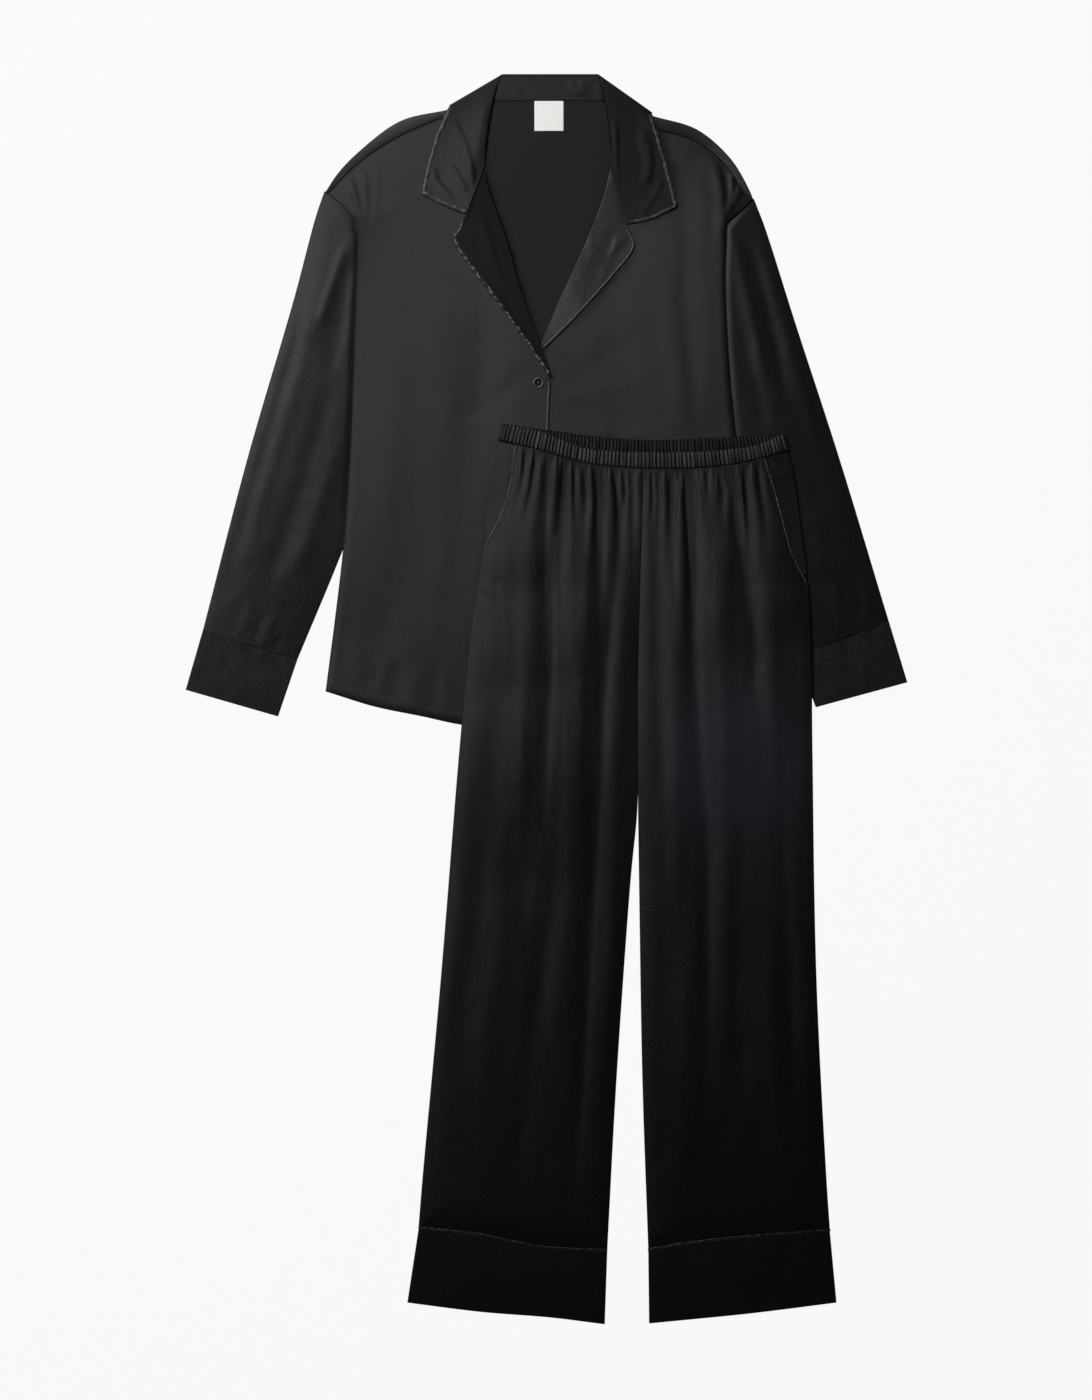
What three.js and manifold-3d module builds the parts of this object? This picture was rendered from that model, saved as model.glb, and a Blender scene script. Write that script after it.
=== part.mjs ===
// A satin pyjama set laid flat: a notched-collar shirt with its trousers laid over the lower half.
// Millimetres, +Z up from the surface, +Y towards the collar, X across.
// Right and left are the wearer's, so the right side has the lower X. The origin is under the middle.
import * as THREE from 'three';
import Module from 'manifold-3d';
import { mergeVertices } from 'three/addons/utils/BufferGeometryUtils.js';

const wasm = await Module();
wasm.setup();
const { lerp, smoothstep } = THREE.MathUtils;

// Driving dimensions
const wall = 1.0;
const gap = 0.3;
const seam = 0.4;
const layer = wall + gap;
const pair = wall + layer;
const bodyLoft = 1.2;
const legLoft = 2.2;
const sleeveLoft = 2.2;
const rollLoft = 2.2;
const rollSetBack = 3.5;
const placketLift = layer + 0.15;
const cuffWall = 1.3;
const legCuffWall = 1.2;
const bandWall = 2.0;
const bandWave = 1.0;
const backBandWave = 0.8;
const frontBandWaves = 50;
const backBandWaves = 45;
const gatherHeight = 2.8;
const fallGap = 1.0;
const legPiping = 3.0;
const collarPiping = 5.5;
const lapelPiping = 4.5;
const edgePiping = 4.0;
const pocketTuck = 8.0;
const button = { radius: 6.35, thickness: 2.0, rim: 1.3, dish: 0.6, hole: 0.8, holeRing: 1.5, pitch: 97 };
const label = { width: 35, height: 36, middle: 3, top: 717.2 };

// Shirt outline
const neckSeam = 717.6;
const frontEdge = 5;
const leftFrontEdge = -25;
const rightTip = { x: -262, y: 606 };
const leftTip = { x: 245, y: 597 };
const rightShoulderSeam = [
  rightTip, { x: -222, y: 645 }, { x: -179, y: 673 }, { x: -129, y: 695.5 },
];
const rightShoulderFold = [
  { x: -265, y: 608 }, { x: -252, y: 628 }, { x: -229, y: 653 }, { x: -176, y: 693 }, { x: -120, y: 706.5 },
];
const leftShoulderSeam = [
  { x: 136, y: 682 }, { x: 179, y: 669 }, { x: 214, y: 640 }, { x: 234, y: 611 }, leftTip,
];
const leftShoulderFold = [
  { x: 129, y: 699 }, { x: 181, y: 683 }, { x: 221, y: 648 }, { x: 243, y: 611 }, { x: 248, y: 599 },
];
const rightArmhole = [rightTip, { x: -243, y: 590 }, { x: -225, y: 563 }];
const rightSide = [
  { x: -225, y: 563 }, { x: -230, y: 441 }, { x: -236, y: 287 }, { x: -244, y: 179 }, { x: -265, y: 9 },
];
const leftArmhole = [leftTip, { x: 232, y: 584 }, { x: 216, y: 572 }];
const leftSide = [
  { x: 216, y: 572 }, { x: 214, y: 500 }, { x: 219, y: 394 }, { x: 226, y: 322 }, { x: 250, y: 119 },
  { x: 270, y: 8 },
];
const rightHem = [
  { x: -265, y: 9 }, { x: -207, y: -9 }, { x: -149, y: -21 }, { x: -102, y: -31 }, { x: frontEdge, y: -43 },
];
const leftHem = [
  { x: frontEdge, y: -43 }, { x: 110, y: -31 }, { x: 200, y: -13 }, { x: 270, y: 8 },
];

// Lapel rolls and the outer edges of the lapels, from the collar down to the button
const rightRoll = [
  { x: -74, y: 636.6 }, { x: -66, y: 612 }, { x: -53, y: 582 }, { x: -41, y: 550 }, { x: -22, y: 478 },
  { x: -4, y: 420 }, { x: 8, y: 382 },
];
const leftRoll = [
  { x: 77.2, y: 636.7 }, { x: 69, y: 610 }, { x: 58, y: 578 }, { x: 45, y: 546 }, { x: 17, y: 483 },
  { x: -5, y: 431 },
];
const rightLapelPoint = { x: -112, y: 554 };
const leftLapelPoint = { x: 106.5, y: 547 };
const rightNotch = { x: -94.7, y: 581.6 };
const leftNotch = { x: 95.7, y: 569.2 };
const rightLapelEdge = [
  rightLapelPoint, { x: -104, y: 537 }, { x: -88, y: 514 }, { x: -44, y: 456 }, { x: -17, y: 417 },
  { x: 3, y: 387 },
];
const leftLapelEdge = [
  leftLapelPoint, { x: 103, y: 536 }, { x: 85, y: 513 }, { x: 45, y: 468 }, { x: 22, y: 444 },
  { x: 0.5, y: 428 },
];

// Collar: the roll down each front, the seam to the lapel, the outer edge and the end
const collarFoldLine = [
  { x: -117, y: 712 }, { x: -53, y: 749.5 }, { x: 62, y: 749.5 }, { x: 127, y: 703.5 },
];
const rightCollarRoll = [
  { x: -54.5, y: 746.5 }, { x: -61, y: 725 }, { x: -67, y: 695 }, { x: -72, y: 659 }, { x: -74.9, y: 637 },
];
const rightCollarSeam = [{ x: -74.9, y: 637 }, { x: -95.6, y: 582 }];
const rightCollarEdge = [
  { x: -116, y: 709.6 }, { x: -131, y: 677 }, { x: -143, y: 635 }, { x: -149, y: 606 },
];
const rightCollarEnd = [{ x: -149, y: 606 }, { x: -122, y: 592 }, { x: -95.6, y: 582 }];
const leftCollarRoll = [
  { x: 63.5, y: 746.5 }, { x: 68, y: 725 }, { x: 73, y: 695 }, { x: 77, y: 659 }, { x: 78.4, y: 637 },
];
const leftCollarSeam = [{ x: 78.4, y: 637 }, { x: 96.9, y: 569.5 }];
const leftCollarEdge = [
  { x: 126, y: 701.2 }, { x: 134, y: 675 }, { x: 148, y: 626 }, { x: 156.5, y: 590 },
];
const leftCollarEnd = [{ x: 96.9, y: 569.5 }, { x: 125, y: 575 }, { x: 156.5, y: 590 }];
const hiddenFallEdge = [{ x: -98, y: 684 }, { x: 2, y: 671 }, { x: 106, y: 680 }];

// Sleeves: the outer edge shows, and the inner edge runs under the shirt body
const rightSleeveOuter = [
  { x: -261, y: 603 }, { x: -277, y: 578 }, { x: -303, y: 480 }, { x: -359, y: 288 }, { x: -411.6, y: 84.4 },
];
const rightSleeveInner = [
  { x: -190, y: 556 }, { x: -178, y: 490 }, { x: -176, y: 410 }, { x: -190, y: 320 }, { x: -249, y: 167 },
  { x: -298.9, y: 47.4 },
];
const rightCuffEdges = {
  outer: [{ x: -412, y: 83.6 }, { x: -433, y: 11 }], inner: [{ x: -299, y: 46.6 }, { x: -322, y: -21 }],
};
const leftSleeveOuter = [
  { x: 244.5, y: 593 }, { x: 262, y: 566 }, { x: 298, y: 453 }, { x: 351, y: 290 }, { x: 410.6, y: 93.4 },
];
const leftSleeveInner = [
  { x: 180, y: 553 }, { x: 168, y: 480 }, { x: 166, y: 400 }, { x: 180, y: 310 }, { x: 245, y: 160 },
  { x: 298.4, y: 54.4 },
];
const leftCuffEdges = {
  outer: [{ x: 411, y: 92.6 }, { x: 433, y: 20 }], inner: [{ x: 298.6, y: 53.6 }, { x: 323, y: -10 }],
};

// Trousers: waistband edges, then each leg
const bandTop = [
  { x: -53, y: 330 }, { x: -11, y: 322 }, { x: 46, y: 301 }, { x: 88, y: 297 }, { x: 144, y: 295.5 },
  { x: 199, y: 297.5 }, { x: 250, y: 304 }, { x: 284, y: 318 },
];
const bandBottom = [
  { x: -59, y: 310 }, { x: -11, y: 299 }, { x: 46, y: 283 }, { x: 102, y: 277 }, { x: 144, y: 275.5 },
  { x: 199, y: 278 }, { x: 241, y: 284 }, { x: 290, y: 298 },
];
const backBandTop = [
  { x: -52, y: 328.5 }, { x: 10, y: 321 }, { x: 60, y: 314 }, { x: 102, y: 311 }, { x: 144, y: 310.5 },
  { x: 199, y: 313 }, { x: 241, y: 315 }, { x: 283, y: 317 },
];
const backBandBottom = [
  { x: -57, y: 309 }, { x: 10, y: 301 }, { x: 60, y: 294 }, { x: 102, y: 291 }, { x: 144, y: 290.5 },
  { x: 199, y: 293 }, { x: 241, y: 295.5 }, { x: 288, y: 298 },
];
const rightPocket = [
  { x: -36.5, y: 304.6 }, { x: -41, y: 287 }, { x: -42, y: 268 }, { x: -47, y: 244 }, { x: -56, y: 219 },
  { x: -77, y: 178 },
];
const rightHip = [{ x: -58, y: 309 }, { x: -62, y: 287 }, { x: -71, y: 239 }, { x: -77, y: 178 }];
const rightLegOuter = [
  { x: -77, y: 178 }, { x: -91, y: 80 }, { x: -105, y: -67 }, { x: -127, y: -337 }, { x: -149, y: -577 },
  { x: -153.5, y: -633 },
];
const rightLegInner = [
  { x: 114.8, y: 276 }, { x: 111.8, y: 167 }, { x: 109, y: 30 }, { x: 109, y: -60 }, { x: 108, y: -130 },
  { x: 101, y: -217 }, { x: 84, y: -457 }, { x: 73, y: -660 },
];
const leftPocket = [
  { x: 262, y: 289 }, { x: 269, y: 266 }, { x: 277, y: 240 }, { x: 285, y: 210 }, { x: 294, y: 177 },
  { x: 313.2, y: 138 },
];
const leftHip = [{ x: 289, y: 298 }, { x: 295, y: 275 }, { x: 306, y: 200 }, { x: 313.2, y: 138 }];
const leftLegOuter = [
  { x: 313.2, y: 138 }, { x: 317, y: 80 }, { x: 319, y: -67 }, { x: 324, y: -337 }, { x: 336, y: -577 },
  { x: 340, y: -636 },
];
const leftLegInner = [
  { x: 115.9, y: 276 }, { x: 112.7, y: 167 }, { x: 109.4, y: 30 }, { x: 109.4, y: -60 },
  { x: 109.8, y: -130 }, { x: 111, y: -217 }, { x: 115, y: -457 }, { x: 122, y: -659 },
];
const rightCuffSeam = [
  { x: -153.5, y: -633 }, { x: -80, y: -641 }, { x: -37, y: -650 }, { x: -5, y: -656 }, { x: 73, y: -660 },
];
const leftCuffSeam = [{ x: 122, y: -659 }, { x: 179, y: -650 }, { x: 235, y: -644 }, { x: 340, y: -636 }];
const rightLegHem = [{ x: -167, y: -724 }, { x: -80, y: -735 }, { x: 6, y: -742 }, { x: 70, y: -750 }];
const leftLegHem = [{ x: 123, y: -749 }, { x: 244, y: -737 }, { x: 348, y: -724 }];

// Gathers below the waistband: where each trough starts, as a share of the panel's top edge, and the
// height and length of the ridge that follows it
const rightGathers = [
  { trough: 0, height: 0, reach: 60 }, { trough: 0.1, height: 0.8, reach: 60 },
  { trough: 0.165, height: 0.7, reach: 45 }, { trough: 0.245, height: 1.0, reach: 90 },
  { trough: 0.37, height: 1.0, reach: 150 }, { trough: 0.5, height: 1.0, reach: 110 },
  { trough: 0.62, height: 0.9, reach: 80 }, { trough: 0.72, height: 0.8, reach: 60 },
  { trough: 0.81, height: 0.9, reach: 120 }, { trough: 0.91, height: 0.8, reach: 60 },
  { trough: 1, height: 0, reach: 60 },
];
const leftGathers = [
  { trough: 0, height: 0.8, reach: 60 }, { trough: 0.125, height: 0.9, reach: 80 },
  { trough: 0.235, height: 0.9, reach: 60 }, { trough: 0.345, height: 0.6, reach: 50 },
  { trough: 0.41, height: 1.0, reach: 160 }, { trough: 0.53, height: 1.0, reach: 150 },
  { trough: 0.66, height: 0.9, reach: 90 }, { trough: 0.78, height: 0.8, reach: 70 },
  { trough: 0.9, height: 0, reach: 60 }, { trough: 1, height: 0, reach: 60 },
];

// Rows down a leg below the pocket, as shares of the way to the hem cuff
const legRows = [
  0.04, 0.08, 0.12, 0.16, 0.19, 0.22, 0.25, 0.28, 0.31, 0.35, 0.42, 0.54, 0.68, 0.84, 1,
];

const satin = (colour) => new THREE.MeshStandardMaterial({ color: colour, roughness: 0.42, metalness: 0 });
const shirtSatin = satin(0x332f32);
const trouserSatin = satin(0x1d1b1d);
const pipingSatin = satin(0x3c3b40);
const buttonPlastic = new THREE.MeshStandardMaterial({ color: 0x17181b, roughness: 0.25, metalness: 0 });
const labelSatin = new THREE.MeshStandardMaterial({ color: 0xe5e5e1, roughness: 0.6, metalness: 0 });

const set = new THREE.Group();

function add(name, geometry, material) {
  const mesh = new THREE.Mesh(geometry, material);
  mesh.name = name;
  set.add(mesh);
}

// Curves
const point = (x, y, z = 0) => new THREE.Vector3(x, y, z);

// A smooth curve through each table's points, with a corner where one table meets the next
function edge(...tables) {
  const path = new THREE.CurvePath();
  for (const table of tables) {
    const places = table.map(({ x, y }) => point(x, y));
    path.add(new THREE.CatmullRomCurve3(places, false, 'centripetal'));
  }
  return path;
}

const moved = (curve, dx, dy) => ({ getPoint: (share) => curve.getPoint(share).add(point(dx, dy)) });

const steps = (from, to, count) => Array.from({ length: count + 1 }, (_, i) => lerp(from, to, i / count));

// Share along a curve that runs towards +X where it reaches x
function shareAt(curve, x) {
  let low = 0;
  let high = 1;
  for (let round = 0; round < 30; round += 1) {
    const middle = (low + high) / 2;
    if (curve.getPoint(middle).x < x) {
      low = middle;
    } else {
      high = middle;
    }
  }
  return low;
}

function stretch(curve, fromX, toX) {
  const from = shareAt(curve, fromX);
  const to = shareAt(curve, toX);
  return { getPoint: (share) => curve.getPoint(lerp(from, to, share)) };
}

const outlineSteps = 14;
function placesOn(curve, count, from = 0, to = 1) {
  return steps(from, to, count).map((share) => curve.getPoint(share));
}

const outline = (...curves) => curves.flatMap((curve) => placesOn(curve, outlineSteps));
const backwards = (curve) => ({ getPoint: (share) => curve.getPoint(1 - share) });

// Distance from a closed outline, negative inside it
function distanceTo(polygon, x, y) {
  let nearest = Infinity;
  let inside = false;
  for (let i = 0, j = polygon.length - 1; i < polygon.length; j = i, i += 1) {
    const a = polygon[j];
    const b = polygon[i];
    const dx = b.x - a.x;
    const dy = b.y - a.y;
    const square = dx * dx + dy * dy;
    const share = square > 0 ? Math.min(1, Math.max(0, ((x - a.x) * dx + (y - a.y) * dy) / square)) : 0;
    nearest = Math.min(nearest, Math.hypot(x - a.x - dx * share, y - a.y - dy * share));
    if ((a.y > y) !== (b.y > y) && x < a.x + ((y - a.y) / dy) * dx) {
      inside = !inside;
    }
  }
  return inside ? -nearest : nearest;
}

const closeTo = (distance, full, none) => 1 - smoothstep(distance, full, none);

// Solids
function closeShell(outer, inner, faces) {
  const count = outer.length;
  const triangles = [];
  const open = new Map();
  for (const [a, b, c] of faces) {
    triangles.push(a, b, c, a + count, c + count, b + count);
    for (const [from, to] of [[a, b], [b, c], [c, a]]) {
      if (!open.delete(`${to} ${from}`)) {
        open.set(`${from} ${to}`, [from, to]);
      }
    }
  }
  for (const [from, to] of open.values()) {
    triangles.push(to, from, from + count, to, from + count, to + count);
  }
  const geometry = new THREE.BufferGeometry();
  const places = [...outer, ...inner].flatMap((place) => place.toArray());
  geometry.setAttribute('position', new THREE.Float32BufferAttribute(places, 3));
  geometry.setIndex(triangles);
  return geometry;
}

// Triangles between two rows whose points need not be as many
function fillBetween(rowA, rowB, startA, startB, faces) {
  let a = 0;
  let b = 0;
  while (a < rowA.length - 1 || b < rowB.length - 1) {
    const nextA = a < rowA.length - 1 ? rowA[a + 1].share : Infinity;
    const nextB = b < rowB.length - 1 ? rowB[b + 1].share : Infinity;
    if (nextA < nextB) {
      faces.push([startA + a, startB + b, startA + a + 1]);
      a += 1;
    } else {
      faces.push([startA + a, startB + b, startB + b + 1]);
      b += 1;
    }
  }
}

// A cloth wall on rows of underside points
function sheet(rows, thickness = wall) {
  const under = rows.flat();
  const faces = [];
  let start = 0;
  for (let index = 1; index < rows.length; index += 1) {
    const next = start + rows[index - 1].length;
    fillBetween(rows[index - 1], rows[index], start, next, faces);
    start = next;
  }
  const normals = under.map(() => point(0, 0));
  for (const corners of faces) {
    const [a, b, c] = corners.map((corner) => under[corner]);
    const across = b.clone().sub(a).cross(c.clone().sub(a));
    corners.forEach((corner) => normals[corner].add(across));
  }
  const over = under.map((place, i) => place.clone().addScaledVector(normals[i].normalize(), thickness));
  return closeShell(over, under, faces);
}

// A four-sided shape between its side edges, bowed near its top and bottom as those edges are
function patch({ top, bottom, left, right, reach = 0.25 }) {
  const bow = (side, u) => side.getPoint(u).sub(side.getPoint(0).lerp(side.getPoint(1), u));
  const fade = (share) => (1 - Math.min(1, share / reach)) ** 2;
  return (u, row) => {
    const v = lerp(row.left, row.right, u);
    const place = left.getPoint(row.left).lerp(right.getPoint(row.right), u);
    place.addScaledVector(bow(top, u), fade(v));
    place.addScaledVector(bow(bottom, u), fade(1 - v));
    return place;
  };
}

// A shape ruled from one curve down to another
const between = (top, bottom) => (u, row) => top.getPoint(u).lerp(bottom.getPoint(u), row.left);

const evenRows = (shares, across) => shares.map((share) => ({ left: share, right: share, across }));

function rowsOf(shape, rows, underside) {
  return rows.map((row) => row.across.map((u) => {
    const place = shape(u, row);
    place.z = underside(place.x, place.y, u, lerp(row.left, row.right, u));
    place.share = u;
    return place;
  }));
}

// A flat tube of cloth: its lower wall, a rounded fold at each side and its upper wall
function flatTube(shape, rows, base, rise, thickness = wall) {
  const height = 2 * thickness + gap;
  const outer = [];
  const inner = [];
  const faces = [];
  for (const row of rows) {
    const width = shape(0, row).distanceTo(shape(1, row));
    const fold = height / 2 / width;
    const shares = row.across.map((u) => lerp(fold, 1 - fold, u));
    const put = (list, u, z) => {
      const place = shape(u, row);
      list.push(point(place.x, place.y, base(place.x, place.y) + z));
    };
    const over = (u) => {
      const place = shape(u, row);
      return height + rise(place.x, place.y, u, row.left);
    };
    for (const u of shares) {
      put(outer, u, 0);
      put(inner, u, thickness);
    }
    put(outer, 1, height / 2);
    put(inner, 1 - thickness / width, height / 2);
    for (const u of shares.toReversed()) {
      put(outer, u, over(u));
      put(inner, u, over(u) - thickness);
    }
    put(outer, 0, height / 2);
    put(inner, thickness / width, height / 2);
  }
  const ring = outer.length / rows.length;
  for (let r = 0; r < rows.length - 1; r += 1) {
    for (let k = 0; k < ring; k += 1) {
      const a = r * ring + k;
      const b = r * ring + ((k + 1) % ring);
      faces.push([a, b, a + ring], [b, b + ring, a + ring]);
    }
  }
  return closeShell(outer, inner, faces);
}

// The rounded fold of a cloth wall: arc from the lower wall round to the upper wall
function foldSections(sections) {
  const outer = [];
  const inner = [];
  const faces = [];
  const count = sections[0].length;
  for (const section of sections) {
    section.forEach(({ out, into }) => {
      outer.push(out);
      inner.push(into);
    });
  }
  for (let r = 0; r < sections.length - 1; r += 1) {
    for (let k = 0; k < count - 1; k += 1) {
      const a = r * count + k;
      faces.push([a, a + count, a + 1], [a + 1, a + count, a + count + 1]);
    }
  }
  const geometry = closeShell(outer, inner, faces);
  return volumeOf(geometry) < 0 ? turnedOut(geometry) : geometry;
}

function volumeOf(geometry) {
  const places = geometry.attributes.position;
  const index = geometry.index.array;
  const corner = (i) => new THREE.Vector3().fromBufferAttribute(places, index[i]);
  let volume = 0;
  for (let i = 0; i < index.length; i += 3) {
    volume += corner(i).dot(corner(i + 1).cross(corner(i + 2))) / 6;
  }
  return volume;
}

function turnedOut(geometry) {
  const index = geometry.index.array;
  for (let i = 0; i < index.length; i += 3) {
    [index[i + 1], index[i + 2]] = [index[i + 2], index[i + 1]];
  }
  return geometry;
}

function solid(geometry) {
  const bare = new THREE.BufferGeometry();
  bare.setAttribute('position', geometry.attributes.position);
  bare.setIndex(geometry.index);
  const merged = mergeVertices(bare, 1e-4);
  return new wasm.Manifold(new wasm.Mesh({
    numProp: 3,
    vertProperties: new Float32Array(merged.attributes.position.array),
    triVerts: new Uint32Array(merged.index.array),
  }));
}

function fromSolid(body) {
  const mesh = body.getMesh();
  const geometry = new THREE.BufferGeometry();
  geometry.setAttribute('position', new THREE.BufferAttribute(mesh.vertProperties, 3));
  geometry.setIndex(new THREE.BufferAttribute(mesh.triVerts, 1));
  return geometry;
}

const joined = (...geometries) => fromSolid(
  geometries.map(solid).reduce((whole, piece) => whole.add(piece)),
);

// A flat strip on a piece's edge, turned in from a path of points and mitred at its corners
function edgeStrip(places, width, side, underside) {
  const directions = places.slice(1).map((place, i) => place.clone().sub(places[i]).normalize());
  const rows = places.map((place, i) => {
    const before = directions[Math.max(0, i - 1)];
    const after = directions[Math.min(directions.length - 1, i)];
    const turn = before.clone().add(after).normalize();
    const reach = width / Math.max(0.6, turn.dot(after));
    const inward = point(-turn.y * side, turn.x * side);
    const outer = place.clone();
    const inner = place.clone().addScaledVector(inward, reach);
    return (side > 0 ? [outer, inner] : [inner, outer]).map((at, share) => {
      at.z = underside(at.x, at.y);
      at.share = share;
      return at;
    });
  });
  const geometry = sheet(rows);
  return volumeOf(geometry) < 0 ? turnedOut(geometry) : geometry;
}

// Heights of the shirt's layers
const rightBodySide = edge(rightArmhole, rightSide);
const leftBodySide = edge(leftArmhole, leftSide);
const rightSeamCurve = edge(rightShoulderSeam);
const leftSeamCurve = edge(leftShoulderSeam);
const bodyOutline = outline(
  backwards(rightBodySide), rightSeamCurve, leftSeamCurve, leftBodySide,
  backwards(edge(leftHem)), backwards(edge(rightHem)),
);
const hiddenShare = 0.78;
const partOf = (curve, share) => ({ getPoint: (t) => curve.getPoint(t * share) });
const hiddenRightSleeve = outline(
  backwards(partOf(edge(rightSleeveOuter), hiddenShare)), partOf(edge(rightSleeveInner), hiddenShare),
);
const hiddenLeftSleeve = outline(
  partOf(edge(leftSleeveOuter), hiddenShare), backwards(partOf(edge(leftSleeveInner), hiddenShare)),
);
const hiddenFall = outline(
  edge(...collarFoldLine.slice(1).map((corner, i) => [collarFoldLine[i], corner])),
  backwards(edge(hiddenFallEdge)),
);

function backUnder(x, y) {
  const sleeve = Math.min(distanceTo(hiddenRightSleeve, x, y), distanceTo(hiddenLeftSleeve, x, y));
  const fall = distanceTo(hiddenFall, x, y);
  return Math.max((pair + seam) * closeTo(sleeve, 12, 100), (layer + 0.05) * closeTo(fall, 16, 110));
}

function frontUnder(x, y) {
  const inside = Math.max(0, -distanceTo(bodyOutline, x, y));
  return backUnder(x, y) + layer + bodyLoft * (1 - Math.exp(-inside / 30));
}

function rightFrontUnder(x, y) {
  const overlap = smoothstep(x, -75, -32) * closeTo(y, 440, 520);
  return frontUnder(x, y) + placketLift * overlap;
}

// A rolled edge lifts away from the outer edge and turns down at the roll itself
function rolled(fromEdge, lift, turn) {
  const raised = rollLoft * lift * smoothstep(fromEdge, 0.15, 0.9);
  return raised - (raised + layer - 0.1) * turn * closeTo(1 - fromEdge, 0, 0.045) ** 2;
}

const bodyRows = [
  0, 0.02, 0.045, 0.075, 0.11, 0.15, 0.19, 0.24, 0.3, 0.37, 0.45, 0.53, 0.61, 0.69, 0.77, 0.85, 0.93, 1,
];
const sideColumns = [0, 0.035, 0.07, 0.105, 0.145, 0.19, 0.25, 0.33, 0.42];
const backColumns = [...sideColumns, 0.5, ...sideColumns.toReversed().map((share) => 1 - share)];
const seamSteps = 7;

const jointOf = (path) => {
  const lengths = path.getCurveLengths();
  return lengths[0] / lengths.at(-1);
};

// Shirt pieces
function shoulderWrap(seamCurve, foldCurve, shares) {
  const radius = pair / 2;
  const sections = shares.map((share) => {
    const line = seamCurve.getPoint(share);
    const fold = foldCurve.getPoint(share);
    const outward = fold.clone().sub(line).normalize();
    const border = line.clone().addScaledVector(outward, seam);
    const centre = fold.clone().addScaledVector(outward, -radius);
    const base = backUnder(centre.x, centre.y);
    const at = (reach, z) => point(centre.x + outward.x * reach, centre.y + outward.y * reach, base + z);
    const arc = [90, 45, 0, -45, -90].map((degrees) => {
      const angle = THREE.MathUtils.degToRad(degrees);
      const inside = radius - wall;
      return {
        out: at(radius * Math.cos(angle), radius + radius * Math.sin(angle)),
        into: at(inside * Math.cos(angle), radius + inside * Math.sin(angle)),
      };
    });
    const seamBase = backUnder(border.x, border.y);
    return [
      { out: point(border.x, border.y, seamBase + pair), into: point(border.x, border.y, seamBase + layer) },
      ...arc,
      { out: at(-1.5, 0.2), into: at(-1.5, 0.8) },
      { out: at(-6, 0.2), into: at(-6, 0.8) },
    ];
  });
  return foldSections(sections);
}

function shirtBack() {
  const rightFold = edge(rightShoulderFold);
  const leftFold = edge(leftShoulderFold);
  const inset = 0.9;
  const neck = [{ x: -66, y: neckSeam }, { x: 70, y: neckSeam }];
  const insetBy = (table, dx) => table.map(({ x, y }) => ({ x: x + dx, y: y - inset }));
  const rightTop = insetBy(rightShoulderFold, inset);
  const leftTop = insetBy(leftShoulderFold, -inset);
  const top = edge(rightTop, [rightTop.at(-1), neck[0]], neck, [neck[1], leftTop[0]], leftTop);
  const shape = patch({
    top, bottom: edge(rightHem, leftHem), left: rightBodySide, right: leftBodySide, reach: 0.22,
  });
  const plate = sheet(rowsOf(shape, evenRows(bodyRows, backColumns), backUnder));
  const shares = steps(0, 1, seamSteps);
  return joined(
    plate,
    shoulderWrap(rightSeamCurve, rightFold, shares),
    shoulderWrap(leftSeamCurve, leftFold, shares),
  );
}

function shirtRightFront() {
  const roll = rightRoll.map(({ x, y }) => ({ x: x - rollSetBack, y }));
  const neckPoint = { x: -70.5, y: 699 };
  const seamEnd = rightShoulderSeam.at(-1);
  const top = edge(rightShoulderSeam, [seamEnd, neckPoint]);
  const right = edge(
    [neckPoint, { x: -75, y: 668 }, roll[0]], roll, [roll.at(-1), { x: 3, y: 340 }, rightHem.at(-1)],
  );
  const shape = patch({ top, bottom: edge(rightHem), left: rightBodySide, right });
  const joint = jointOf(top);
  const across = [...steps(0, joint, seamSteps), ...steps(joint, 1, 3).slice(1)];
  return sheet(rowsOf(shape, evenRows(bodyRows, across), rightFrontUnder));
}

function shirtLeftFront() {
  const roll = leftRoll.map(({ x, y }) => ({ x: x + rollSetBack, y }));
  const neckPoint = { x: 73, y: 699 };
  const hemEnd = { x: leftFrontEdge, y: -42 };
  const top = edge([neckPoint, leftShoulderSeam[0]], leftShoulderSeam);
  const left = edge(
    [neckPoint, { x: 78, y: 668 }, roll[0]], roll,
    [roll.at(-1), { x: -20, y: 412 }, { x: leftFrontEdge, y: 380 }], [{ x: leftFrontEdge, y: 380 }, hemEnd],
  );
  const shape = patch({ top, bottom: edge([hemEnd, ...leftHem.slice(1)]), left, right: leftBodySide });
  const joint = jointOf(top);
  const across = [...steps(0, joint, 3), ...steps(joint, 1, seamSteps).slice(1)];
  return sheet(rowsOf(shape, evenRows(bodyRows, across), frontUnder));
}

function sleeve(left, right) {
  const shape = patch({
    top: edge([left[0], right[0]]), bottom: edge([left.at(-1), right.at(-1)]),
    left: edge(left), right: edge(right),
  });
  const rise = (x, y, u) => {
    const clear = smoothstep(distanceTo(bodyOutline, x, y), 25, 70);
    return sleeveLoft * clear * Math.sin(Math.PI * u) ** 0.7;
  };
  return flatTube(shape, evenRows(steps(0, 1, 10), steps(0, 1, 6)), () => 0, rise);
}

function sleeveCuff(left, right) {
  const shape = patch({
    top: edge([left[0], right[0]]), bottom: edge([left[1], right[1]]), left: edge(left), right: edge(right),
  });
  const rise = (x, y, u) => 0.5 * Math.sin(Math.PI * u);
  return flatTube(shape, evenRows(steps(0, 1, 2), steps(0, 1, 6)), () => 0, rise, cuffWall);
}

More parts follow.
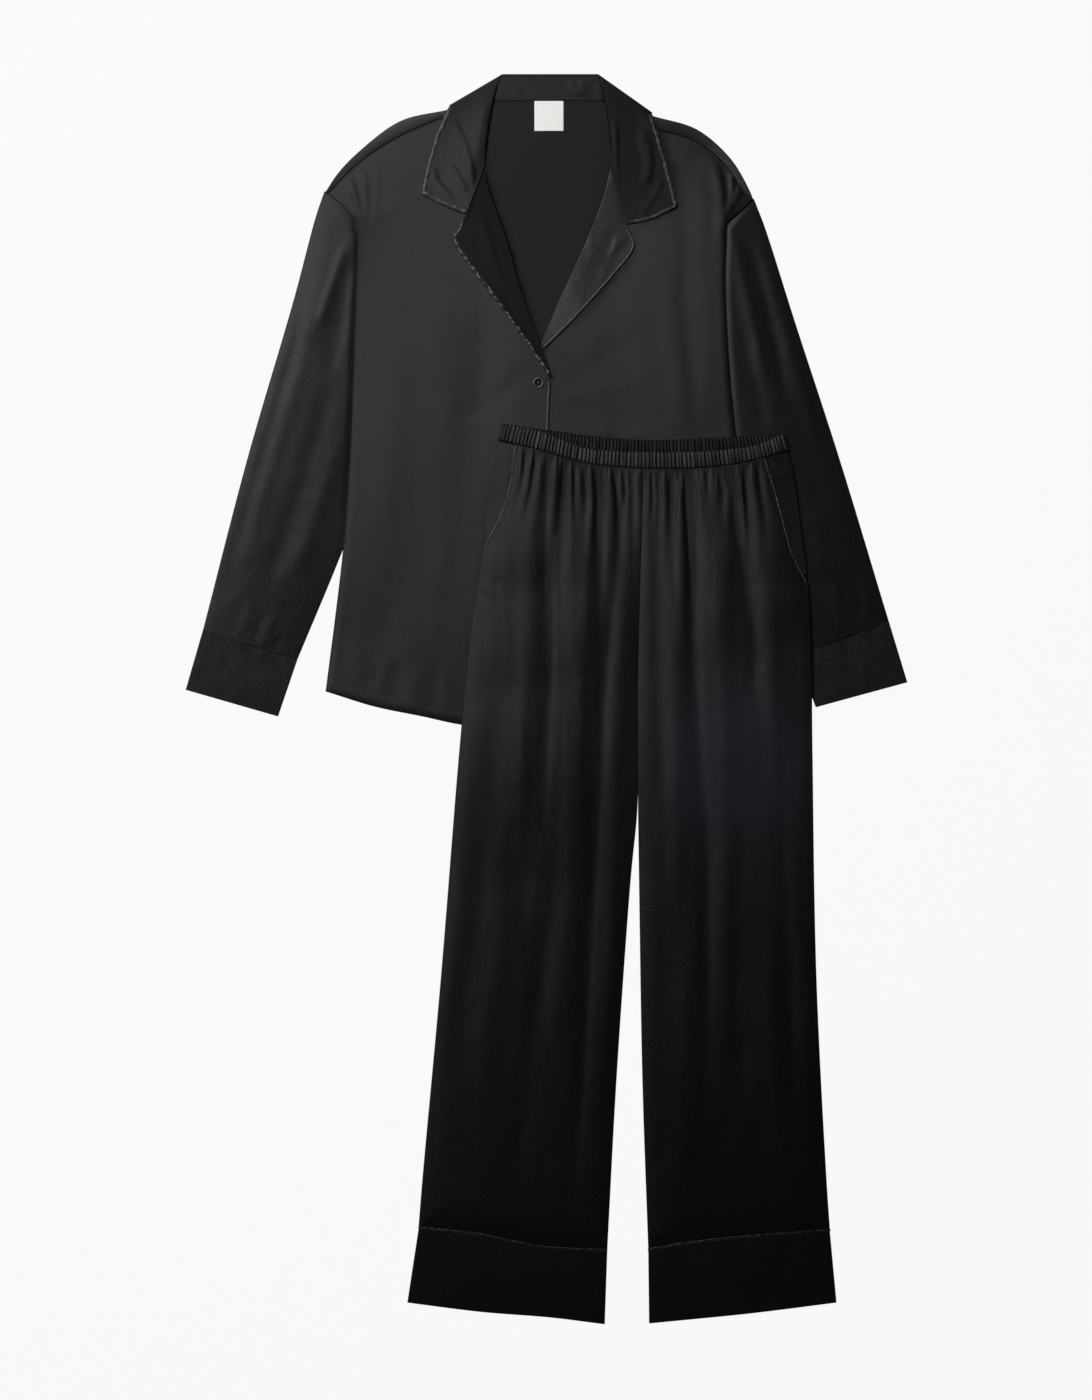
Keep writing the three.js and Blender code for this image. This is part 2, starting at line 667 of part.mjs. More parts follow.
// The roll of a fall ends where its seam to the lapel starts
function collarFall(left, right, bottom, top, rollAtRight) {
  const shape = patch({ top: edge(top), bottom: edge(bottom), left, right });
  const seamStart = jointOf(rollAtRight ? right : left);
  const shares = [...steps(0, seamStart, 6), ...steps(seamStart, 1, 3).slice(1)];
  const across = rollAtRight
    ? [0, 0.09, 0.3, 0.5, 0.7, 0.88, 0.955, 0.985, 1]
    : [0, 0.015, 0.045, 0.12, 0.3, 0.5, 0.7, 0.91, 1];
  return sheet(rowsOf(shape, evenRows(shares, across), (x, y, u, v) => {
    const lift = smoothstep(v, 0, 0.2) * closeTo(v, 0.55, 0.95);
    const turn = smoothstep(v, 0, 0.12) * closeTo(v, seamStart - 0.16, seamStart - 0.06);
    return frontUnder(x, y) + wall + fallGap + rolled(rollAtRight ? u : 1 - u, lift, turn);
  }));
}

function collar() {
  const foldTop = backUnder(0, 735) + pair + fallGap + wall;
  const radius = foldTop / 2;
  const corners = collarFoldLine.map(({ x, y }) => point(x, y));
  const path = corners.slice(1).flatMap((corner, i) => {
    const places = placesOn(edge([corners[i], corner]), 3);
    return i === 0 ? places : places.slice(1);
  });
  const sections = path.map((place, i) => {
    const before = path[Math.max(0, i - 1)];
    const after = path[Math.min(path.length - 1, i + 1)];
    const along = after.clone().sub(before).normalize();
    const outward = point(-along.y, along.x);
    const at = (reach, z) => point(place.x + outward.x * reach, place.y + outward.y * reach, z);
    const arc = [90, 45, 0, -45, -90].map((degrees) => {
      const angle = THREE.MathUtils.degToRad(degrees);
      const inside = radius - wall;
      return {
        out: at(radius * (Math.cos(angle) - 1), radius + radius * Math.sin(angle)),
        into: at(inside * Math.cos(angle) - radius, radius + inside * Math.sin(angle)),
      };
    });
    return [
      { out: at(-radius - 5, foldTop - 0.2), into: at(-radius - 5, foldTop - wall + 0.2) },
      { out: at(-radius - 1.5, foldTop - 0.2), into: at(-radius - 1.5, foldTop - wall + 0.2) },
      ...arc,
      { out: at(-radius - 1.5, 0.2), into: at(-radius - 1.5, wall - 0.2) },
      { out: at(-radius - 5, 0.2), into: at(-radius - 5, wall - 0.2) },
    ];
  });
  const top = moved(edge(...corners.slice(1).map((corner, i) => [corners[i], corner])), 0, -2.7);
  const hidden = patch({
    top, bottom: edge(hiddenFallEdge),
    left: edge([{ x: -117, y: 709.3 }, hiddenFallEdge[0]]),
    right: edge([{ x: 127, y: 700.8 }, hiddenFallEdge[2]]),
    reach: 1,
  });
  const stand = patch({
    top: edge([{ x: -54, y: 746.6 }, { x: 63, y: 746.6 }]),
    bottom: edge([{ x: -66, y: neckSeam + seam }, { x: 70, y: neckSeam + seam }]),
    left: edge([{ x: -54, y: 746.6 }, { x: -66, y: neckSeam + seam }]),
    right: edge([{ x: 63, y: 746.6 }, { x: 70, y: neckSeam + seam }]),
  });
  const standUnder = (x, y, u, v) => lerp(foldTop - wall, backUnder(x, neckSeam), Math.sqrt(v));
  return joined(
    sheet(rowsOf(hidden, evenRows(steps(0, 1, 2), steps(0, 1, 9)), () => 0)),
    foldSections(sections),
    sheet(rowsOf(stand, evenRows(steps(0, 1, 3), steps(0, 1, 5)), standUnder)),
    collarFall(
      edge(rightCollarEdge), edge(rightCollarRoll, rightCollarSeam), rightCollarEnd,
      [rightCollarEdge[0], rightCollarRoll[0]], true,
    ),
    collarFall(
      edge(leftCollarRoll, leftCollarSeam), edge(leftCollarEdge), leftCollarEnd,
      [leftCollarRoll[0], leftCollarEdge[0]], false,
    ),
  );
}

function lapel(left, right, rollAtRight, restOn) {
  const shape = patch({
    top: edge([left.getPoint(0), right.getPoint(0)]), bottom: edge([left.getPoint(1), right.getPoint(1)]),
    left, right,
  });
  const across = rollAtRight
    ? [0, 0.12, 0.35, 0.6, 0.85, 0.955, 0.985, 1]
    : [0, 0.015, 0.045, 0.15, 0.4, 0.65, 0.88, 1];
  return sheet(rowsOf(shape, evenRows(steps(0, 1, 11), across), (x, y, u, v) => {
    const wide = closeTo(v, 0.45, 0.95);
    const turn = wide * smoothstep(v, 0, 0.16);
    return restOn(x, y) + wall + fallGap + rolled(rollAtRight ? u : 1 - u, wide, turn);
  }));
}

const onTop = (underside) => (x, y) => underside(x, y) + wall + seam;
const onFront = (underside) => (x, y) => underside(x, y) + wall + fallGap;

function collarStrip(fallEdge, end, side) {
  const places = [...placesOn(edge(fallEdge), 8), ...placesOn(edge(end), 5).slice(1)];
  return edgeStrip(places, collarPiping, side, onTop(onFront(frontUnder)));
}

function lapelStrip(notch, lapelEdge, side, restOn) {
  const places = [
    ...placesOn(edge([notch, lapelEdge[0]]), 3, 0.12), ...placesOn(edge(lapelEdge), 12, 0, 0.94).slice(1),
  ];
  return edgeStrip(places, lapelPiping, side, onTop(onFront(restOn)));
}

function shirtButton(x, y) {
  const { radius, thickness, rim, dish, hole, holeRing } = button;
  const profile = [
    [0, 0], [radius, 0], [radius, thickness - 0.5], [radius - 0.5, thickness], [radius - rim, thickness],
    [radius - rim - 0.6, thickness - dish], [0, thickness - dish],
  ].map(([across, up]) => new THREE.Vector2(across, up));
  const disc = new THREE.LatheGeometry(profile, 14);
  disc.rotateX(Math.PI / 2);
  let body = solid(disc);
  for (const [sx, sy] of [[1, 1], [-1, 1], [-1, -1], [1, -1]]) {
    const drill = new THREE.CylinderGeometry(hole, hole, 3 * thickness, 5);
    drill.rotateX(Math.PI / 2);
    drill.translate((sx * holeRing) / Math.SQRT2, (sy * holeRing) / Math.SQRT2, 0);
    body = body.subtract(solid(drill));
  }
  const geometry = fromSolid(body);
  geometry.translate(x, y, onTop(rightFrontUnder)(x, y) + 0.05);
  return geometry;
}

// The trousers rest on the shirt: its top surface, spread sideways and sloped down past its edges
const leftSleeveOutline = outline(edge(leftSleeveOuter), backwards(edge(leftSleeveInner)));
const leftCuffOutline = outline(edge(leftCuffEdges.outer), backwards(edge(leftCuffEdges.inner)));
const buttonPlaces = [0, 1, 2, 3].map((i) => ({ x: -9.7 + i * 0.4, y: 379.2 - i * button.pitch }));

function shirtTop(x, y) {
  let top = 0;
  if (distanceTo(leftSleeveOutline, x, y) < 0) {
    top = pair + sleeveLoft;
  }
  if (distanceTo(leftCuffOutline, x, y) < 0) {
    top = 2 * cuffWall + gap + 0.5;
  }
  if (distanceTo(bodyOutline, x, y) < 0) {
    top = Math.max(top, (x < frontEdge + 2 ? rightFrontUnder(x, y) : frontUnder(x, y)) + wall);
  }
  if (x > 0 && x < frontEdge + 2 && y > -45) {
    top += layer + 0.1;
  }
  if (buttonPlaces.some((place) => Math.hypot(x - place.x, y - place.y) < button.radius + 2)) {
    top += seam + button.thickness + 0.1;
  }
  return top;
}

const restCell = 6;
const restFrom = { x: -132, y: -132 };
const restSize = { x: 84, y: 82 };
const restReach = 10;
const restFlat = 22;
const restSlope = 0.11;

function restTable() {
  const tops = [];
  for (let j = 0; j < restSize.y; j += 1) {
    for (let i = 0; i < restSize.x; i += 1) {
      tops.push(shirtTop(restFrom.x + i * restCell, restFrom.y + j * restCell));
    }
  }
  return tops.map((_, place) => {
    const i = place % restSize.x;
    const j = (place - i) / restSize.x;
    let best = 0;
    for (let dj = -restReach; dj <= restReach; dj += 1) {
      for (let di = -restReach; di <= restReach; di += 1) {
        const near = i + di >= 0 && i + di < restSize.x && j + dj >= 0 && j + dj < restSize.y;
        const top = near ? tops[(j + dj) * restSize.x + i + di] : 0;
        const away = Math.hypot(di, dj) * restCell;
        if (away <= restReach * restCell) {
          best = Math.max(best, top - restSlope * Math.max(0, away - restFlat));
        }
      }
    }
    return best;
  });
}

const rest = restTable();

function legUnder(x, y) {
  const i = THREE.MathUtils.clamp((x - restFrom.x) / restCell, 0, restSize.x - 1.001);
  const j = THREE.MathUtils.clamp((y - restFrom.y) / restCell, 0, restSize.y - 1.001);
  const column = Math.floor(i);
  const row = Math.floor(j);
  const at = (dx, dy) => rest[(row + dy) * restSize.x + column + dx];
  const low = lerp(at(0, 0), at(1, 0), i - column);
  const high = lerp(at(0, 1), at(1, 1), i - column);
  const top = lerp(low, high, j - row);
  return top + seam * Math.min(1, top);
}

// Trouser pieces
const bandTopCurve = edge(bandTop);
const bandBottomCurve = edge(bandBottom);
const backBandBottomCurve = edge(backBandBottom);
const bandBase = backBandWave + bandWall + seam;

function waistband(top, bottom, waves, height, base) {
  return sheet(rowsOf(between(top, bottom), evenRows([0, 1], steps(0, 1, 2 * waves)), (x, y, u) => {
    const crest = Math.round(u * 2 * waves) % 2;
    return legUnder(x, y) + base + height * crest;
  }), bandWall);
}

function gatherRise(table, u, below) {
  const next = table.findIndex(({ trough }) => trough > u);
  if (next < 1) {
    return 0;
  }
  const { trough, height, reach } = table[next - 1];
  const phase = (u - trough) / (table[next].trough - trough);
  return gatherHeight * height * (0.5 - 0.5 * Math.cos(2 * Math.PI * phase)) * Math.exp(-below / reach);
}

// Points across a gathered row: the troughs, the crests and, in close rows, the slopes between
function acrossGathers(table, close) {
  const parts = close ? [0, 0.25, 0.5, 0.75] : [0, 0.5];
  const shares = table.slice(1).flatMap(({ trough }, i) => (
    parts.map((part) => lerp(table[i].trough, trough, part))
  ));
  return [...shares, 1];
}

const belowWaist = (x, y) => Math.max(0, bandBottomCurve.getPoint(shareAt(bandBottomCurve, x)).y - y);

// Rows of a leg panel: some down to the pocket's foot, then those that front and back share
function panelRows(upper, leftJoint, rightJoint, plain) {
  const lower = legRows.map((share) => ({
    left: lerp(leftJoint, 1, share),
    right: lerp(rightJoint, 1, share),
    across: share < 1 ? plain : steps(0, 1, hemColumns),
  }));
  const top = upper.map(({ share, across }) => ({
    left: leftJoint * share, right: rightJoint * share, across,
  }));
  return [...top, ...lower];
}

const hemColumns = 8;

function legPanel(left, right, top, bottom, upper, underside) {
  const shape = patch({ top, bottom, left, right, reach: 0.12 });
  const rows = panelRows(upper, jointOf(left), jointOf(right), steps(0, 1, 6));
  return sheet(rowsOf(shape, rows, underside));
}

// The seams below the waist are split where the pocket ends, so that all four panels share rows
const splitInner = (table, y) => {
  const curve = edge(table);
  let share = 0;
  while (curve.getPoint(share).y > y) {
    share += 0.002;
  }
  const cut = curve.getPoint(share);
  return [[table[0], cut], [cut, ...table.filter((place) => place.y < y - 20)]];
};
const [rightSeatTop, rightSeatRest] = splitInner(rightLegInner, 176);
const [leftSeatTop, leftSeatRest] = splitInner(leftLegInner, 140);

function legFacingOutline(hip, pocket, tuck) {
  const inner = pocket.map(({ x, y }) => ({ x: x + tuck, y }));
  return { hip: edge(hip), inner: edge(inner) };
}

const rightFacing = legFacingOutline(rightHip, rightPocket, pocketTuck);
const leftFacing = legFacingOutline(leftHip, leftPocket, -pocketTuck);
const rightFacingShape = outline(backwards(rightFacing.hip), rightFacing.inner);
const leftFacingShape = outline(backwards(leftFacing.hip), leftFacing.inner);

function frontLegBase(x, y) {
  const facing = Math.min(distanceTo(rightFacingShape, x, y), distanceTo(leftFacingShape, x, y));
  const waist = bandBase - layer + bandWave / 2;
  return legUnder(x, y) + layer + (layer + 0.5) * closeTo(facing, 12, 80)
    + waist * Math.exp(-belowWaist(x, y) / 22);
}

function frontLeg(left, right, topFrom, topTo, bottom, gathers) {
  const top = moved(stretch(bandBottomCurve, topFrom, topTo), 0, -seam);
  const polygon = outline(backwards(left), top, right, backwards(bottom));
  const close = acrossGathers(gathers, true);
  const open = acrossGathers(gathers, false);
  const upper = [
    { share: 0, across: close }, { share: 0.08, across: close }, { share: 0.2, across: close },
    { share: 0.4, across: open }, { share: 0.6, across: open }, { share: 0.8, across: open },
    { share: 1, across: open },
  ];
  return legPanel(left, right, top, bottom, upper, (x, y, u) => {
    const inside = Math.max(0, -distanceTo(polygon, x, y));
    const loft = legLoft * (1 - Math.exp(-inside / 25)) * smoothstep(belowWaist(x, y), 0, 60);
    return frontLegBase(x, y) + loft + gatherRise(gathers, u, belowWaist(x, y));
  });
}

function backLeg(left, right, topFrom, topTo, bottom) {
  const top = moved(stretch(backBandBottomCurve, topFrom, topTo), 0, -seam);
  const plain = steps(0, 1, 6);
  const upper = steps(0, 1, 6).map((share) => ({ share, across: plain }));
  return legPanel(left, right, top, bottom, upper, legUnder);
}

const facingLift = 0.4;

function pocketFacing({ hip, inner }, fromX, toX) {
  const hipFirst = hip.getPoint(0).x < inner.getPoint(0).x;
  const [left, right] = hipFirst ? [hip, inner] : [inner, hip];
  const top = moved(stretch(bandBottomCurve, fromX, toX), 0, -seam);
  const end = 0.94;
  const shape = patch({
    top, bottom: edge([left.getPoint(end), right.getPoint(end)]),
    left: partOf(left, end), right: partOf(right, end),
  });
  const under = (x, y) => legUnder(x, y) + layer + facingLift;
  return sheet(rowsOf(shape, evenRows(steps(0, 1, 7), steps(0, 1, 2)), under));
}

function pocketStrip(pocket, side) {
  const places = placesOn(edge(pocket), 10, 0.02, 0.96);
  return edgeStrip(places, edgePiping, side, (x, y) => frontLegBase(x, y) + wall + 2 * seam);
}

const hemRise = 0.2;
const cuffLoft = 1.2;
const legTube = (shape, rows, across, rise) => flatTube(
  shape, evenRows(steps(0, 1, rows), steps(0, 1, across)), () => 0, rise, legCuffWall,
);

function legPipingRing(seamTable) {
  const seamCurve = edge(seamTable);
  const shape = between(moved(seamCurve, 0, -seam), moved(seamCurve, 0, -seam - legPiping));
  return legTube(shape, 1, hemColumns, () => hemRise);
}

function legCuff(seamTable, hemTable) {
  const top = moved(edge(seamTable), 0, -2 * seam - legPiping);
  const rise = (x, y, u, v) => hemRise + cuffLoft * Math.sin(Math.PI * u) * Math.sin(Math.PI * v);
  return legTube(between(top, edge(hemTable)), 3, hemColumns, rise);
}

// The whole shirt
add('shirt_back', shirtBack(), shirtSatin);
add('shirt_right_front', shirtRightFront(), shirtSatin);
add('shirt_left_front', shirtLeftFront(), shirtSatin);
add('right_sleeve', sleeve(rightSleeveOuter, rightSleeveInner), shirtSatin);
add('left_sleeve', sleeve(leftSleeveInner, leftSleeveOuter), shirtSatin);
add('right_sleeve_cuff', sleeveCuff(rightCuffEdges.outer, rightCuffEdges.inner), shirtSatin);
add('left_sleeve_cuff', sleeveCuff(leftCuffEdges.inner, leftCuffEdges.outer), shirtSatin);
add('collar', collar(), shirtSatin);
const rightLapelOuter = edge([rightNotch, rightLapelPoint], rightLapelEdge);
const leftLapelOuter = edge([leftNotch, leftLapelPoint], leftLapelEdge);
add('right_lapel', lapel(rightLapelOuter, edge(rightRoll), true, rightFrontUnder), shirtSatin);
add('left_lapel', lapel(edge(leftRoll), leftLapelOuter, false, frontUnder), shirtSatin);
add('right_collar_piping', collarStrip(rightCollarEdge, rightCollarEnd, 1), pipingSatin);
add('left_collar_piping', collarStrip(leftCollarEdge, leftCollarEnd.toReversed(), -1), pipingSatin);
add('right_lapel_piping', lapelStrip(rightNotch, rightLapelEdge, 1, rightFrontUnder), pipingSatin);
add('left_lapel_piping', lapelStrip(leftNotch, leftLapelEdge, -1, frontUnder), pipingSatin);
const frontEdgeLine = edge([{ x: 5.3, y: 380 }, { x: 3, y: 340 }, { x: frontEdge, y: -42.6 }]);
const frontEdgePlaces = placesOn(frontEdgeLine, 16);
add('front_edge_piping', edgeStrip(frontEdgePlaces, edgePiping, -1, onTop(rightFrontUnder)), pipingSatin);
buttonPlaces.forEach(({ x, y }, i) => add(`shirt_button_${i + 1}`, shirtButton(x, y), buttonPlastic));

function neckLabel() {
  const left = label.middle - label.width / 2;
  const shape = (u, row) => point(left + label.width * u, label.top - label.height * row.left);
  const rows = evenRows(steps(0, 1, 3), steps(0, 1, 3));
  return sheet(rowsOf(shape, rows, (x, y) => backUnder(x, y) + layer + 0.05));
}
add('neck_label', neckLabel(), labelSatin);

// The whole trousers
const rightLegFrontEdge = edge(rightPocket, rightLegOuter);
const leftLegFrontEdge = edge(leftPocket, leftLegOuter);
const rightLegBackEdge = edge(rightHip, rightLegOuter);
const leftLegBackEdge = edge(leftHip, leftLegOuter);
const rightSeat = edge(rightSeatTop, rightSeatRest);
const leftSeat = edge(leftSeatTop, leftSeatRest);
const rightBackSeat = edge([{ x: 114.8, y: 290 }, rightSeatTop[1]], rightSeatRest);
const leftBackSeat = edge([{ x: 115.9, y: 290 }, leftSeatTop[1]], leftSeatRest);
const rightLegSeam = edge(rightCuffSeam);
const leftLegSeam = edge(leftCuffSeam);
add('trousers_right_back', backLeg(
  rightLegBackEdge, rightBackSeat, -56.9, 114.8, rightLegSeam,
), trouserSatin);
add('trousers_left_back', backLeg(leftBackSeat, leftLegBackEdge, 115.9, 287.9, leftLegSeam), trouserSatin);
add('trousers_right_front', frontLeg(
  rightLegFrontEdge, rightSeat, -36.5, 114.8, rightLegSeam, rightGathers,
), trouserSatin);
add('trousers_left_front', frontLeg(
  leftSeat, leftLegFrontEdge, 115.9, 262, leftLegSeam, leftGathers,
), trouserSatin);
add('waistband_back', waistband(
  edge(backBandTop), backBandBottomCurve, backBandWaves, backBandWave, 0,
), trouserSatin);
add('waistband_front', waistband(
  bandTopCurve, bandBottomCurve, frontBandWaves, bandWave, bandBase,
), trouserSatin);
add('right_pocket_facing', pocketFacing(rightFacing, -58.6, -28.5), trouserSatin);
add('left_pocket_facing', pocketFacing(leftFacing, 254, 289.6), trouserSatin);
add('right_pocket_piping', pocketStrip(rightPocket, 1), pipingSatin);
add('left_pocket_piping', pocketStrip(leftPocket, -1), pipingSatin);
add('right_leg_piping', legPipingRing(rightCuffSeam), pipingSatin);
add('left_leg_piping', legPipingRing(leftCuffSeam), pipingSatin);
add('right_leg_cuff', legCuff(rightCuffSeam, rightLegHem), trouserSatin);
add('left_leg_cuff', legCuff(leftCuffSeam, leftLegHem), trouserSatin);

export default set;
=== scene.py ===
import math
import bmesh
import bpy
import numpy as np
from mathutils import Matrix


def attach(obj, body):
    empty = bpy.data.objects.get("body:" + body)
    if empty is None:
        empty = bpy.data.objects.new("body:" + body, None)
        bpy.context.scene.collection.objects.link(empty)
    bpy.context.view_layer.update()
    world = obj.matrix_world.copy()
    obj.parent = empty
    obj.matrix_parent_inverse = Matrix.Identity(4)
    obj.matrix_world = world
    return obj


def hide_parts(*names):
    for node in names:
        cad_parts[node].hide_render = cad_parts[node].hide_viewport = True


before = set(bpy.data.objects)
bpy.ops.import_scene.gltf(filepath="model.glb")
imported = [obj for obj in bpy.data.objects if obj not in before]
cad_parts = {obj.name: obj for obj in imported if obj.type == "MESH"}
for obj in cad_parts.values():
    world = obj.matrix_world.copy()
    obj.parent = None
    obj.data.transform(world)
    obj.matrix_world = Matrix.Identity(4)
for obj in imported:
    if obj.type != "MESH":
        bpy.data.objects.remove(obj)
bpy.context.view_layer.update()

mm = 0.001
print("stage: frame loaded")

# A single layer, how layers lie on each other, and how a cut edge is rounded
cloth = {
    "wall": 1.0,
    "gap": 0.3,           # from one layer to the next above it
    "seam": 0.4,          # between neighbouring pieces
    "edgeRound": 0.45,    # how much thinner a layer is at its edges
    "edgeLift": 0.2,      # the share of that on its underside
}
wall = cloth["wall"]
seam = cloth["seam"]
layer = wall + cloth["gap"]
pair = wall + layer


# Curves and shapes
def smooth(value, low, high):
    share = np.clip((value - low) / (high - low), 0, 1)
    return share * share * (3 - 2 * share)


def closeTo(value, full, none):
    return 1 - smooth(value, full, none)


def softFloor(height, ease=0.35):
    return 0.5 * (height + np.sqrt(height * height + ease * ease))


def rounded(table, finish=24):
    # A curve through a table of points that doesn't overshoot where they are unevenly spaced
    places = np.array(table, float)
    if len(places) == 2:
        return places
    ends = np.vstack([2 * places[0] - places[1], places, 2 * places[-1] - places[-2]])
    pieces = []
    for i in range(1, len(ends) - 2):
        a, b, c, d = ends[i - 1:i + 3]
        t0, t1, t2 = (math.sqrt(math.dist(p, q)) for p, q in ((a, b), (b, c), (c, d)))
        leave = ((b - a) / t0 - (c - a) / (t0 + t1) + (c - b) / t1) * t1
        arrive = ((c - b) / t1 - (d - b) / (t1 + t2) + (d - c) / t2) * t1
        t = np.linspace(0, 1, finish, endpoint=i == len(ends) - 3)[:, None]
        pieces.append(b + leave * t + (3 * (c - b) - 2 * leave - arrive) * t ** 2
                      + (2 * (b - c) + leave + arrive) * t ** 3)
    return np.vstack(pieces)


class Line:
    # A smooth line through tables of points, with a corner between tables, read by its length
    def __init__(self, *tables, places=None):
        if places is None:
            parts = [rounded(table) for table in tables]
            places = np.vstack([parts[0]] + [part[1:] for part in parts[1:]])
            first = np.linalg.norm(np.diff(parts[0], axis=0), axis=1).sum()
        reach = np.concatenate([[0], np.linalg.norm(np.diff(places, axis=0), axis=1).cumsum()])
        self.places, self.length = places, reach[-1]
        self.shares = reach / reach[-1]
        self.joint = first / reach[-1] if tables else 1.0

    def at(self, share):
        return np.stack([np.interp(share, self.shares, axis) for axis in self.places.T], -1)

    def moved(self, dx, dy):
        return Line(places=self.places + [dx, dy])

    def back(self):
        return Line(places=self.places[::-1])

    def part(self, start, end, count=60):
        return Line(places=self.at(np.linspace(start, end, count)))

    def shareAt(self, x):
        return np.interp(x, self.places[:, 0], self.shares)

    def between(self, fromX, toX):
        return self.part(self.shareAt(fromX), self.shareAt(toX))


def outline(*lines, points=28):
    return np.vstack([line.at(np.linspace(0, 1, points)) for line in lines])


def distanceTo(polygon, x, y):
    # Distance from a closed outline, negative inside it
    flatX, flatY = np.ravel(x), np.ravel(y)
    start, end = polygon, np.roll(polygon, -1, axis=0)
    nearest = np.full(flatX.shape, np.inf)
    inside = np.zeros(flatX.shape, bool)
    for (ax, ay), (bx, by) in zip(start, end):
        dx, dy = bx - ax, by - ay
        square = dx * dx + dy * dy
        if square < 1e-9:
            continue
        share = np.clip(((flatX - ax) * dx + (flatY - ay) * dy) / square, 0, 1)
        nearest = np.minimum(nearest, np.hypot(flatX - ax - dx * share, flatY - ay - dy * share))
        if dy:
            inside ^= ((ay > flatY) != (by > flatY)) & (flatX < ax + (flatY - ay) / dy * dx)
    return np.where(inside, -nearest, nearest).reshape(np.shape(x))


def patch(top, bottom, left, right, reach=0.25):
    # A four-sided shape between its side edges, bowed near its top and bottom as those edges are
    def bow(side, u):
        ends = side.at(np.array([0.0, 1.0]))
        return side.at(u) - (ends[0] + (ends[1] - ends[0]) * u[:, None])

    def place(u, leftShare, rightShare):
        v = leftShare[:, None] + (rightShare - leftShare)[:, None] * u[None, :]
        fromLeft, fromRight = left.at(leftShare)[:, None, :], right.at(rightShare)[:, None, :]
        places = fromLeft + (fromRight - fromLeft) * u[None, :, None]
        fade = (1 - np.minimum(1, v / reach)) ** 2
        fadeUp = (1 - np.minimum(1, (1 - v) / reach)) ** 2
        places = places + bow(top, u)[None] * fade[..., None] + bow(bottom, u)[None] * fadeUp[..., None]
        return places, v
    return place


def ruled(top, bottom):
    def place(u, leftShare, rightShare):
        over, under = top.at(u)[None], bottom.at(u)[None]
        v = np.repeat(leftShare[:, None], len(u), axis=1)
        return over + (under - over) * v[..., None], v
    return place


def spread(length, step, edge=0.9):
    # Even shares along a length, with one more near each end for a rounded edge
    inner = np.linspace(edge / length, 1 - edge / length, max(3, round(length / step)))
    nearEnd = 0.35 * edge / length
    return np.concatenate([[0, nearEnd], inner, [1 - nearEnd, 1]])


def ripple(x, y, size, seed):
    # Soft uneven waves, from -1 to 1
    cells, shift = 64, (31.3, 29.7)
    values = np.random.default_rng(seed).uniform(-1, 1, (cells, cells))
    i, j = np.asarray(x) / size + shift[0], np.asarray(y) / size + shift[1]
    column, row = np.floor(i).astype(int), np.floor(j).astype(int)
    s, t = smooth(i - column, 0, 1), smooth(j - row, 0, 1)

    def at(dx, dy):
        return values[(row + dy) % cells, (column + dx) % cells]
    return (at(0, 0) * (1 - s) + at(1, 0) * s) * (1 - t) + (at(0, 1) * (1 - s) + at(1, 1) * s) * t


def ripples(table, x, y):
    # Waves on waves. Each has a height, a size, how far it is drawn out along y, and a seed
    return sum(height * ripple(x, y / drawn, size, seed) for height, size, drawn, seed in table)


def foldHeight(table, x, y):
    # Folds laid one by one. Each has a height, its width to the left and to the right of its way, and points
    steps, fadeAtEnds, leastAtEnds = 13, 0.22, 0.15
    total = np.zeros(np.shape(x))
    for height, leftWidth, rightWidth, points in table:
        way = Line(points).at(np.linspace(0, 1, steps + 1))
        nearest = np.full(np.shape(x), np.inf)
        side = np.zeros(np.shape(x))
        along = np.zeros(np.shape(x))
        for i, ((ax, ay), (bx, by)) in enumerate(zip(way[:-1], way[1:])):
            dx, dy = bx - ax, by - ay
            share = np.clip(((x - ax) * dx + (y - ay) * dy) / (dx * dx + dy * dy), 0, 1)
            offX, offY = x - ax - dx * share, y - ay - dy * share
            away = np.hypot(offX, offY)
            closer = away < nearest
            nearest = np.where(closer, away, nearest)
            side = np.where(closer, np.sign(dx * offY - dy * offX), side)
            along = np.where(closer, (i + share) / steps, along)
        width = np.where(side > 0, leftWidth, rightWidth)
        taper = smooth(along, 0, fadeAtEnds) * smooth(1 - along, 0, fadeAtEnds)
        total += height * np.exp(-(nearest / width) ** 2) * (leastAtEnds + (1 - leastAtEnds) * taper)
    return total


# Meshes
made = []


def finishPiece(name, mesh, slotName, *nodes):
    piece = bpy.data.objects.new(name, mesh)
    bpy.context.scene.collection.objects.link(piece)
    mesh.materials.clear()
    mesh.materials.append(materials[slotName])
    for face in mesh.polygons:
        face.use_smooth = True
    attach(piece, "root")
    if nodes:
        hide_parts(*nodes)
    made.append(piece)
    return piece


def meshFrom(name, places, faces, uvs):
    mesh = bpy.data.meshes.new(name)
    mesh.from_pydata((np.asarray(places) * mm).tolist(), [], faces.tolist())
    cutUv = mesh.uv_layers.new(name="cut")
    corners = np.empty(len(mesh.loops), int)
    mesh.loops.foreach_get("vertex_index", corners)
    cutUv.data.foreach_set("uv", (np.asarray(uvs)[corners] * mm).ravel())
    mesh.update()
    return mesh


def gridFaces(rows, columns, start=0, flip=False):
    a = (np.arange(rows - 1)[:, None] * columns + np.arange(columns - 1)[None, :]).ravel() + start
    quads = np.stack([a, a + columns, a + columns + 1, a + 1], 1)
    return quads[:, ::-1] if flip else quads


def travelled(places):
    # How far along a row of places each one is
    return np.concatenate([[0], np.linalg.norm(np.diff(places, axis=0), axis=1).cumsum()])


def cutPlaces(across, along):
    # Each point's place on the flat cloth, for both faces of the wall
    uv = np.stack(np.broadcast_arrays(across[None, :], along[:, None]), -1).reshape(-1, 2)
    return np.vstack([uv, uv])


